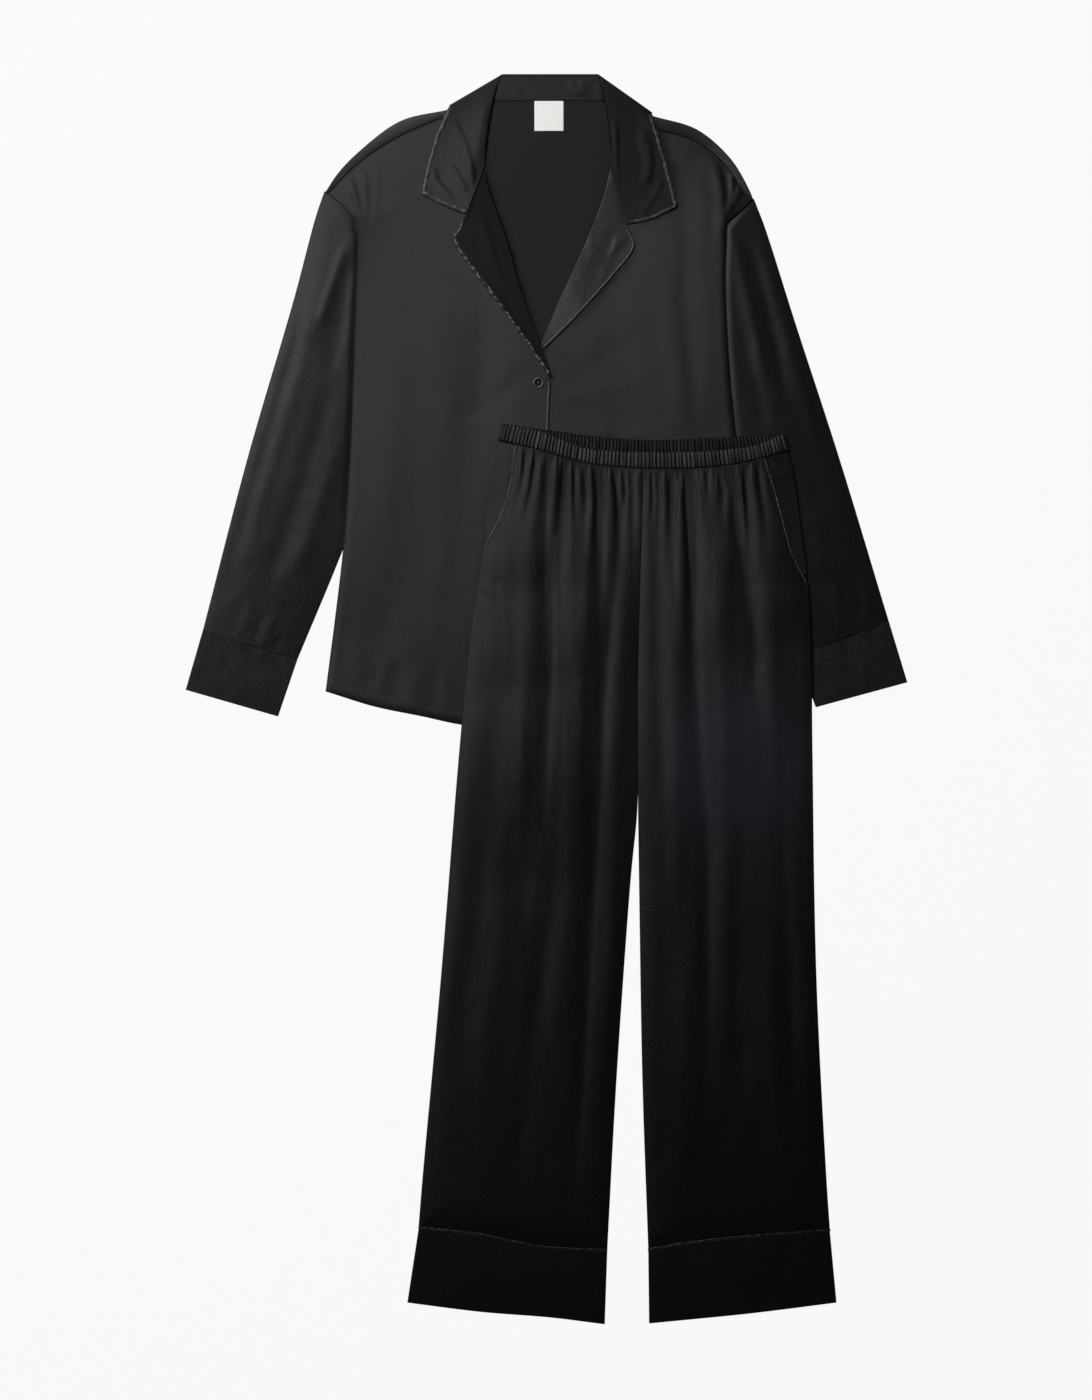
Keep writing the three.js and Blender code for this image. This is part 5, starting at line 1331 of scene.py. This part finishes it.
def legPanel(left, right, top, bottom, surface, grid):
    place = patch(top, bottom, left, right, legShape["bow"])
    edge = legShape["edge"]
    shares = np.unique(np.concatenate([
        spread(legShape["length"], grid["down"], edge),
        np.linspace(0, legShape["waistShare"], grid["waistRows"]), [0.004, 0.0013]]))
    hip = legShape["hipShare"]
    leftShares, rightShares = (np.interp(shares, [0, hip, 1], [0, side.joint, 1]) for side in (left, right))
    return sheetPart(place, spread(legShape["width"], grid["across"]), leftShares,
                     lambda x, y, u, v: surface(x, y), rightShares=rightShares)


def legFront(left, right, top, bottom):
    surface = legTop(outline(left.back(), top, right, bottom.back()))
    return legPanel(left, right, top, bottom, surface, frontGrid)


def waistEdge(line, fromX, toX):
    return line.between(fromX, toX).moved(0, -seam)


pocketEnds = {"right": 176, "left": 140}
seatTops = {"right": (114.8, 290), "left": (115.9, 290)}
rightCuffLine, leftCuffLine = Line(rightCuffSeam), Line(leftCuffSeam)
rightSeatFront = seatLines(rightLegInner, pocketEnds["right"])
leftSeatFront = seatLines(leftLegInner, pocketEnds["left"])
rightLegPart = legFront(
    rightLegFrontEdge, rightSeatFront, waistEdge(bandBottomLine, -36.5, 114.8), rightCuffLine)
leftLegPart = legFront(
    leftSeatFront, leftLegFrontEdge, waistEdge(bandBottomLine, 115.9, 262), leftCuffLine)
rightBackPart = legPanel(
    rightLegBackEdge, seatLines(rightLegInner, pocketEnds["right"], seatTops["right"]),
    waistEdge(backBandBottomLine, -56.9, 114.8), rightCuffLine, legUnder, backGrid)
leftBackPart = legPanel(
    seatLines(leftLegInner, pocketEnds["left"], seatTops["left"]), leftLegBackEdge,
    waistEdge(backBandBottomLine, 115.9, 287.9), leftCuffLine, legUnder, backGrid)
makeSheet("trousersRightBack", rightBackPart, "trouser_satin")
makeSheet("trousersLeftBack", leftBackPart, "trouser_satin")
makeSheet("trousersRightFront", rightLegPart, "trouser_satin")
makeSheet("trousersLeftFront", leftLegPart, "trouser_satin")
print("stage: trouser panels")

# Waistband. Each pleat is a ridge across the band
band = {
    "columnsToPleat": 7, "rows": 13, "jitter": 0.16, "round": 0.75, "heights": (0.55, 1.25), "lean": 0.25,
    "edgeWave": 0.25, "least": 0.55, "underShare": 0.25,
}


def waistband(top, bottom, pleats, height, base, seed):
    # Pleats of uneven width and depth, each a rounded ridge that leans a little
    rng = np.random.default_rng(seed)
    columns = band["columnsToPleat"]
    marks = np.arange(pleats + 1) + rng.uniform(-1, 1, pleats + 1) * band["jitter"]
    marks[0], marks[-1] = 0, pleats
    marks /= pleats
    tall = rng.uniform(*band["heights"], pleats)
    lean = rng.uniform(-band["lean"], band["lean"], pleats)
    share = np.linspace(0, 1, columns, endpoint=False)
    u = np.concatenate([marks[i] + share * (marks[i + 1] - marks[i]) for i in range(pleats)] + [[1.0]])
    phase = np.concatenate([share] * pleats + [[0.0]])
    pleat = np.minimum(np.repeat(np.arange(pleats + 1), columns)[:len(u)], pleats - 1)
    rows = np.concatenate([[0, 0.03], np.linspace(0.09, 0.91, band["rows"] - 4), [0.97, 1]])
    places, v = ruled(top, bottom)(u, rows, rows)
    bend = phase[None, :] + lean[pleat][None, :] * np.sin(np.pi * v) * np.sin(np.pi * phase)[None, :]
    wave = (0.5 - 0.5 * np.cos(2 * np.pi * bend)) ** 0.8 * tall[pleat][None, :]
    crown = arch(v) ** 0.35
    toEdge = np.where(v < 0.5, 1, -1) * (np.abs(v - 0.5) * 2) ** 6
    places = places + np.stack([0 * v, band["edgeWave"] * (wave - 0.5) * toEdge], -1)
    x, y = places[..., 0], places[..., 1]
    low = legUnder(x, y) + base
    lift = height * wave * (band["least"] + (1 - band["least"]) * crown)
    over = np.stack([x, y, low + waist["wall"] + lift - band["round"] * (1 - crown)], -1)
    under = np.stack([x, y, low + band["underShare"] * lift], -1)
    return shell(over, under)


# The back band wears a darker copy of the trouser satin, painted shade, and the front band a lighter one,
# painted light
makeSheet("waistbandBack", waistband(Line(backBandTop), backBandBottomLine, 80, 1.3, 0, 5), "trouser_satin",
          satins["facing"])
makeSheet("waistbandFront", waistband(Line(bandTop), bandBottomLine, 78, 1.6, bandBase, 6), "trouser_satin",
          satins["waistband"])

pocket = {"end": 0.94, "across": (24, 1.6), "down": (128, 2.2), "gap": 0.4, "ripples": [(0.35, 12, 1, 61)]}


def facingUnder(x, y, u, v):
    soft = ripples(pocket["ripples"], x, y) * np.sin(np.pi * u)
    return legUnder(x, y) + layer + pocket["gap"] + softFloor(soft, 0.1)


def pocketFacing(left, right, fromX, toX):
    left, right = left.part(0, pocket["end"]), right.part(0, pocket["end"])
    end = Line(places=np.array([left.at(1), right.at(1)]))
    place = patch(waistEdge(bandBottomLine, fromX, toX), end, left, right)
    return sheetPart(place, spread(*pocket["across"]), spread(*pocket["down"]), facingUnder)


makeSheet("rightPocketFacing", pocketFacing(*rightFacingLines, -58.6, -28.5), "trouser_satin")
# The left pocket facing wears a darker copy of the satin: painted shade
makeSheet("leftPocketFacing", pocketFacing(*leftFacingLines[::-1], 254, 289.6), "trouser_satin",
          satins["facing"])

# Leg cuffs, below the piping in their seams
legCuffShape = {
    "topGap": 2 * seam + 1.4, "puff": 1.2, "least": 0.2, "wall": 1.2, "down": (86, 2.4), "across": (225, 3),
    "pulls": 0.3, "pullSize": 7, "pullDrawn": 4, "pullReach": 6, "waves": 0.35, "waveSize": 30,
}


def legCuff(seamTable, hemTable, seed):
    shape = legCuffShape
    top = Line(seamTable).moved(0, -shape["topGap"])

    def rise(x, y, u, v):
        puff = shape["puff"] * arch(u) * np.sin(np.pi * v)
        pulls = ripples([(shape["pulls"], shape["pullSize"], shape["pullDrawn"], seed)], x, y)
        soft = ripples([(shape["waves"], shape["waveSize"], 1, seed + 1)], x, y)
        lift = puff + pulls * np.exp(-v * shape["pullReach"]) * smooth(v, 0, 0.05) + soft
        return (shape["least"] + softFloor(lift, 0.2)) * smooth(u, 0, 0.03) * closeTo(u, 0.97, 1)
    place = ruled(top, Line(hemTable))
    return flatTube(place, spread(*shape["down"]), spread(*shape["across"]), rise, shape["wall"])


# The leg cuffs wear a lighter copy of the trouser satin: painted light
makeSheet("rightLegCuff", legCuff(rightCuffSeam, rightLegHem, 71), "trouser_satin", satins["legCuff"])
makeSheet("leftLegCuff", legCuff(leftCuffSeam, leftLegHem, 75), "trouser_satin", satins["legCuff"])
print("stage: trousers")


# Geometry node recipes
class Recipe:
    # A tree of geometry nodes with named inputs, used on a path of points
    def __init__(self, name, inputs):
        self.tree = bpy.data.node_groups.new(name, "GeometryNodeTree")
        face = self.tree.interface
        face.new_socket(name="Path", in_out="INPUT", socket_type="NodeSocketGeometry")
        self.sockets = {}
        for label, kind in inputs.items():
            self.sockets[label] = face.new_socket(name=label, in_out="INPUT", socket_type=kind).identifier
        face.new_socket(name="Made", in_out="OUTPUT", socket_type="NodeSocketGeometry")
        self.given = self.tree.nodes.new("NodeGroupInput")
        self.made = self.tree.nodes.new("NodeGroupOutput")

    def input(self, label):
        return self.given.outputs[label]

    def add(self, kind, settings=None, sockets=None):
        node = self.tree.nodes.new(kind)
        for key, value in (settings or {}).items():
            setattr(node, key, value)
        pairs = sockets.items() if isinstance(sockets, dict) else enumerate(sockets or [])
        for key, value in pairs:
            if isinstance(value, bpy.types.NodeSocket):
                self.tree.links.new(value, node.inputs[key])
            else:
                node.inputs[key].default_value = value
        return node.outputs[0]

    def finish(self, geometry):
        real = self.add("GeometryNodeRealizeInstances", None, [geometry])
        worn = self.add("GeometryNodeSetMaterial", None, {
            "Geometry": real, "Material": self.input("Material")})
        self.tree.links.new(worn, self.made.inputs[0])
        return self

    def make(self, name, paths, slotName, values, nodes=(), closed=False):
        places, edges = [], []
        for path in paths:
            start = len(places)
            places += [tuple(place) for place in np.asarray(path) * mm]
            edges += [(i, i + 1) for i in range(start, len(places) - 1)]
            if closed:
                edges.append((len(places) - 1, start))
        mesh = bpy.data.meshes.new(name + "Path")
        mesh.from_pydata(places, edges, [])
        holder = bpy.data.objects.new(name + "Path", mesh)
        bpy.context.scene.collection.objects.link(holder)
        modifier = holder.modifiers.new("recipe", "NODES")
        modifier.node_group = self.tree
        for label, value in {**values, "Material": materials[slotName]}.items():
            modifier[self.sockets[label]] = value
        shaped = holder.evaluated_get(bpy.context.evaluated_depsgraph_get())
        result = bpy.data.meshes.new_from_object(shaped)
        holder.modifiers.remove(modifier)
        bpy.data.objects.remove(holder)
        result.name = name
        return finishPiece(name, result, slotName, *nodes)


def bindingRecipe():
    # A puckered cloth binding swept along an edge
    recipe = Recipe("binding", {
        "Width": "NodeSocketFloat", "Thickness": "NodeSocketFloat", "Pucker": "NodeSocketFloat",
        "Pucker Size": "NodeSocketFloat", "Step": "NodeSocketFloat", "Seed": "NodeSocketFloat",
        "Material": "NodeSocketMaterial"})
    add, given = recipe.add, recipe.input
    curve = add("GeometryNodeMeshToCurve", None, [given("Path")])
    even = add("GeometryNodeResampleCurve", {"mode": "LENGTH"}, {"Curve": curve, "Length": given("Step")})
    level = add("GeometryNodeSetCurveNormal", {"mode": "Z_UP"}, {"Curve": even})
    ring = add("GeometryNodeCurvePrimitiveCircle", None, {"Resolution": 12, "Radius": 0.5})
    size = add("ShaderNodeCombineXYZ", None, [given("Width"), given("Thickness"), 1.0])
    profile = add("GeometryNodeTransform", None, {"Geometry": ring, "Scale": size})
    swept = add("GeometryNodeCurveToMesh", None, {
        "Curve": level, "Profile Curve": profile, "Fill Caps": True})
    rate = add("ShaderNodeMath", {"operation": "DIVIDE"}, [1.0, given("Pucker Size")])
    noise = add("ShaderNodeTexNoise", {"noise_dimensions": "4D"}, {
        "W": given("Seed"), "Scale": rate, "Detail": 1.0, "Roughness": 0.4})
    middle = add("ShaderNodeMath", {"operation": "SUBTRACT"}, [noise, 0.5])
    depth = add("ShaderNodeMath", {"operation": "MULTIPLY"}, [middle, given("Pucker")])
    along = add("ShaderNodeVectorMath", {"operation": "SCALE"}, {
        0: add("GeometryNodeInputNormal"), "Scale": depth})
    pulled = add("GeometryNodeSetPosition", None, {"Geometry": swept, "Offset": along})
    soft = add("GeometryNodeSetShadeSmooth", None, {0: pulled})
    return recipe.finish(soft)


def stitchRecipe():
    # Short threads in a row along a path
    recipe = Recipe("stitches", {
        "Spacing": "NodeSocketFloat", "Length": "NodeSocketFloat", "Thread": "NodeSocketFloat",
        "Material": "NodeSocketMaterial"})
    add, given = recipe.add, recipe.input
    curve = add("GeometryNodeMeshToCurve", None, [given("Path")])
    even = add("GeometryNodeResampleCurve", {"mode": "LENGTH"}, {"Curve": curve, "Length": given("Spacing")})
    bead = add("GeometryNodeMeshUVSphere", None, {"Segments": 6, "Rings": 4, "Radius": 0.5})
    size = add("ShaderNodeCombineXYZ", None, [given("Length"), given("Thread"), given("Thread")])
    thread = add("GeometryNodeTransform", None, {"Geometry": bead, "Scale": size})
    turn = add("FunctionNodeAlignRotationToVector", {"axis": "X"}, {
        "Vector": add("GeometryNodeInputTangent")})
    row = add("GeometryNodeInstanceOnPoints", None, {"Points": even, "Instance": thread, "Rotation": turn})
    return recipe.finish(row)


binding, stitches = bindingRecipe(), stitchRecipe()
# Sizes in metres
bindingValues = {
    "Width": 0.0060, "Thickness": 0.0026, "Pucker": 0.0032, "Pucker Size": 0.0075, "Step": 0.0010,
    "Seed": 1.0}
stitchValues = {"Spacing": 0.0027, "Length": 0.0020, "Thread": 0.00032}


def pathOn(line, underside, lift, inward=0.0, count=80, start=0.0, end=1.0):
    # Points along a line, moved in from it, on a surface's height
    places = line.at(np.linspace(start, end, count))
    way = np.gradient(places, axis=0)
    way /= np.linalg.norm(way, axis=1)[:, None]
    places = places + np.column_stack([-way[:, 1], way[:, 0]]) * inward
    return np.column_stack([places, underside(places[:, 0], places[:, 1]) + lift])


def edgeRest(x, y):
    return rightFrontUnder(np.minimum(x, 3), y)


def pocketRest(x, y):
    return frontLegBase(x, y) + 0.15


legPiping = {"below": seam + 0.7, "count": 120, "ends": 0.004, "top": 2.3, "side": 1.6, "bottom": 0.85}


def legRing(seamTable):
    # Round the flattened leg: over its upper wall and back under its lower one
    line = Line(seamTable).moved(0, -legPiping["below"])
    count = legPiping["count"]
    places = line.at(np.linspace(legPiping["ends"], 1 - legPiping["ends"], count))
    over = np.column_stack([places, np.full(count, legPiping["top"])])
    under = np.column_stack([places[::-1], np.full(count, legPiping["bottom"])])
    first, last = line.at(0.0), line.at(1.0)
    return np.vstack([over, [[*last, legPiping["side"]]], under, [[*first, legPiping["side"]]]])


rightCollarOuter = Line(rightCollarEdge, rightCollarEnd)
leftCollarOuter = Line(leftCollarEdge, leftCollarEnd[::-1])
frontEdgeLine = Line([(5.3, 380), (3, 340), (frontEdge, -42.6)])
collarTrim = {"Width": 0.0064, "Thickness": 0.0022, "Pucker": 0.0026}
lapelTrim = {"Width": 0.0046, "Thickness": 0.0022, "Pucker": 0.0056, "Seed": 3.0}
pocketTrim = {"Width": 0.0028, "Thickness": 0.0016, "Pucker": 0.0020, "Pucker Size": 0.005}
legTrim = {"Width": 0.0028, "Thickness": 0.0014, "Pucker": 0.0016, "Pucker Size": 0.006}
# Each binding's path, its values, its look where it isn't the plain one, and the sheet that it is sewn to
pipings = {
    # The collar pipings wear copies of the piping satin with other gloss and roughness: painted light on one,
    # painted shade on the other
    "rightCollarPiping": (
        pathOn(rightCollarOuter, collarRest, 1.6, 1.9, 160, 0, 0.985), collarTrim, satins["brightPiping"],
        "shirtCollar"),
    "leftCollarPiping": (
        pathOn(leftCollarOuter, collarRest, 1.6, -1.9, 160, 0, 0.985), {"Seed": 2.0, "Width": 0.0052},
        satins["dullPiping"], "shirtCollar"),
    "rightLapelPiping": (
        pathOn(rightLapelOuter, lapelRest(rightFrontUnder), 0.7, 1.5, 190, 0.03, 0.985), lapelTrim, None,
        "rightLapel"),
    "leftLapelPiping": (
        pathOn(leftLapelOuter, lapelRest(leftLapelUnder), 0.7, -1.5, 180, 0.03, 0.985),
        {**lapelTrim, "Width": 0.0038, "Pucker": 0.0012, "Seed": 4.0}, None, "leftLapel"),
    "frontEdgePiping": (
        pathOn(frontEdgeLine, edgeRest, 0.9, -1.6, 200),
        {"Width": 0.0036, "Thickness": 0.0018, "Pucker": 0.0020, "Seed": 5.0}, None, "shirtRightFront"),
    "rightPocketPiping": (
        pathOn(Line(rightPocket), pocketRest, 0.8, 1.1, 90, 0.01, 0.97), {**pocketTrim, "Seed": 6.0}, None,
        "trousersRightFront"),
    "leftPocketPiping": (
        pathOn(Line(leftPocket), pocketRest, 0.8, -1.1, 90, 0.01, 0.97), {**pocketTrim, "Seed": 7.0}, None,
        "trousersLeftFront"),
    "rightLegPiping": (legRing(rightCuffSeam), {**legTrim, "Seed": 8.0}, satins["legPiping"], "rightLegCuff"),
    "leftLegPiping": (legRing(leftCuffSeam), {**legTrim, "Seed": 9.0}, satins["legPiping"], "leftLegCuff"),
}
trim = {}
for name, (path, values, look, sewnTo) in pipings.items():
    piping = binding.make(
        name, [path], "piping_satin", {**bindingValues, **values}, [nodeOf(name)], "Leg" in name)
    if look:
        wear(piping, look)
    trim.setdefault(sewnTo, []).append(piping)
print("stage: piping")

# Buttons, each with four holes in its dish. Only the first one shows, and is sewn on with a crossed thread
button = {
    "radius": 6.35, "thickness": 2.0, "rim": 1.5, "dish": 0.85, "hole": 0.8, "holeRing": 1.5, "holeSides": 16,
    "sides": 48, "gap": 0.35, "threadWidth": 1.5, "threadThickness": 0.9,
    "threadLift": 0.12, "threadCross": 0.15,
}
holeReach = button["holeRing"] / math.sqrt(2)


def linked(name, mesh):
    item = bpy.data.objects.new(name, mesh)
    bpy.context.scene.collection.objects.link(item)
    return item


def buttonMesh():
    radius, thick, rim, dish = button["radius"], button["thickness"], button["rim"], button["dish"]
    profile = [
        (0, 0), (radius - 0.5, 0), (radius - 0.1, 0.2), (radius, 0.7), (radius, thick - 0.7),
        (radius - 0.15, thick - 0.25), (radius - 0.5, thick), (radius - rim, thick - 0.05),
        (radius - rim - 0.4, thick - 0.7 * dish), (radius - rim - 0.9, thick - dish), (0, thick - dish)]
    body = bmesh.new()
    corners = [body.verts.new((across * mm, 0, up * mm)) for across, up in profile]
    ways = [body.edges.new(pair) for pair in zip(corners, corners[1:])]
    bmesh.ops.spin(body, geom=corners + ways, axis=(0, 0, 1), cent=(0, 0, 0), steps=button["sides"],
                   angle=2 * math.pi)
    bmesh.ops.remove_doubles(body, verts=body.verts, dist=1e-6)
    bmesh.ops.recalc_face_normals(body, faces=body.faces)
    mesh = bpy.data.meshes.new("buttonBlank")
    body.to_mesh(mesh)
    body.free()
    drills = bmesh.new()
    for sx, sy in ((1, 1), (-1, 1), (-1, -1), (1, -1)):
        hole = bmesh.ops.create_cone(
            drills, cap_ends=True, segments=button["holeSides"], radius1=button["hole"] * mm,
            radius2=button["hole"] * mm, depth=3 * thick * mm)["verts"]
        reach = holeReach * mm
        bmesh.ops.translate(drills, verts=hole, vec=(sx * reach, sy * reach, thick / 2 * mm))
    drillMesh = bpy.data.meshes.new("buttonDrills")
    drills.to_mesh(drillMesh)
    drills.free()
    blank, drill = linked("buttonBlank", mesh), linked("buttonDrills", drillMesh)
    cutter = blank.modifiers.new("holes", "BOOLEAN")
    cutter.operation, cutter.object, cutter.solver = "DIFFERENCE", drill, "EXACT"
    drilled = bpy.data.meshes.new_from_object(blank.evaluated_get(bpy.context.evaluated_depsgraph_get()))
    for item in (blank, drill):
        bpy.data.objects.remove(item)
    return drilled


def sewOn(x, y, level):
    # Two threads that cross between the holes
    top = level + button["thickness"] - button["dish"] + button["threadLift"]
    threads = [
        [(x - holeReach, y - way * holeReach, top), (x, y, top + button["threadCross"]),
         (x + holeReach, y + way * holeReach, top)] for way in (1, -1)]
    threads[1].reverse()
    binding.make("buttonThread", threads, "piping_satin", {
        "Width": button["threadWidth"] * mm, "Thickness": button["threadThickness"] * mm, "Pucker": 0.0,
        "Pucker Size": 0.01, "Step": 0.0004, "Seed": 0.0})


drilledButton = buttonMesh()
dishRadius = (button["radius"] - button["rim"]) * mm
for number, (x, y) in enumerate(buttonPlaces, 1):
    mesh = drilledButton.copy()
    level = float(rightFrontUnder(np.array([x]), np.array([y]))[0]) + wall + button["gap"]
    for corner in mesh.vertices:
        corner.co += type(corner.co)((x * mm, y * mm, level * mm))
    name = f"shirtButton{number}"
    buttonPiece = finishPiece(name, mesh, "button_plastic", nodeOf(name))
    # The dish wears the darker copy: painted shade in the hollow
    wear(buttonPiece, shadedButtonDish,
         lambda middle: math.hypot(middle.x - x * mm, middle.y - y * mm) < dishRadius)
    if number == 1:
        sewOn(x, y, level)

# Rows of stitches on hems, edges and seams: the lines, what they lie on, how far in, how many points, ends
stitchRows = {
    "hemStitches": [
        pathOn(Line(rightHem).moved(0, 8), rightFrontUnder, wall, 0, 100, 0.01, 0.99),
        pathOn(Line(leftHem).moved(0, 8), frontUnder, wall, 0, 100, 0.02, 0.98)],
    "frontStitches": [pathOn(frontEdgeLine.moved(-5.2, 0), rightFrontUnder, wall, 0, 160, 0.02, 0.98)],
    "shoulderStitches": [
        pathOn(rightSeamLine.moved(0, -2.2), frontUnder, wall, 0, 60, 0.03, 0.97),
        pathOn(leftSeamLine.moved(0, -2.2), frontUnder, wall, 0, 60, 0.03, 0.97)],
    "collarStitches": [
        pathOn(rightCollarOuter, collarRest, wall + 0.05, 5.4, 120, 0.02, 0.95),
        pathOn(leftCollarOuter, collarRest, wall + 0.05, -5.4, 120, 0.02, 0.95)],
}
for name, paths in stitchRows.items():
    stitches.make(name, paths, "shirt_satin", stitchValues)
print("stage: buttons and stitches")

# Floor, lights and camera
studio = {
    "floorColour": (0.02, 0.02, 0.02, 1), "floorGlow": 0.93, "floorReach": 5, "floorLevel": -0.0002,
    "skyColour": (1.0, 1.0, 1.0, 1), "skyStrength": 0.05,
    "keyPlace": (-0.82, 1.06, 1.65), "keySize": (1.9, 0.79), "keyPower": 48.0,
    "fillPlace": (-1.6, 0.2, 1.2), "fillSize": (0.8, 1.8), "fillPower": 6.0,
    "cameraHeight": 4.667, "lens": 100.0, "sensor": 36.0, "centre": (-0.0006, -0.0012),
}


def floorLook():
    look = Look("floor")
    look.surface({"Base Color": studio["floorColour"], "Roughness": 0.9, "Specular IOR Level": 0.0,
                  "Emission Color": (1, 1, 1, 1), "Emission Strength": studio["floorGlow"]})
    return look.material


floorMesh = bpy.data.meshes.new("floor")
floorMesh.from_pydata(
    [(x * studio["floorReach"], y * studio["floorReach"], studio["floorLevel"])
     for x, y in ((-1, -1), (1, -1), (1, 1), (-1, 1))], [], [(0, 1, 2, 3)])
floorMesh.materials.append(floorLook())
floor = bpy.data.objects.new("floor", floorMesh)
bpy.context.scene.collection.objects.link(floor)


def softbox(name, place, size, power, aim=(0, 0.1, 0)):
    lamp = bpy.data.lights.new(name, "AREA")
    lamp.shape, lamp.size, lamp.size_y, lamp.energy = "RECTANGLE", size[0], size[1], power
    box = bpy.data.objects.new(name, lamp)
    way = [a - b for a, b in zip(aim, place)]
    flat = math.hypot(way[0], way[1])
    box.location = place
    box.rotation_euler = (math.atan2(flat, -way[2]), 0, math.atan2(way[1], way[0]) - math.pi / 2)
    bpy.context.scene.collection.objects.link(box)


softbox("keyLight", studio["keyPlace"], studio["keySize"], studio["keyPower"])
softbox("fillLight", studio["fillPlace"], studio["fillSize"], studio["fillPower"])
world = bpy.data.worlds.new("studio")
world.use_nodes = True
sky = next(node for node in world.node_tree.nodes if node.type == "BACKGROUND")
sky.inputs[0].default_value = studio["skyColour"]
sky.inputs[1].default_value = studio["skyStrength"]
bpy.context.scene.world = world
bpy.context.scene.view_settings.view_transform = "Standard"

camera = bpy.data.cameras.new("camera")
camera.lens, camera.sensor_width, camera.clip_end = studio["lens"], studio["sensor"], 50
eye = bpy.data.objects.new("camera", camera)
eye.location = (*studio["centre"], studio["cameraHeight"])
bpy.context.scene.collection.objects.link(eye)
bpy.context.scene.camera = eye

total = sum(len(face.vertices) - 2 for piece in made for face in piece.data.polygons)
print("stage: scene ready,", len(made), "pieces,", total, "triangles")
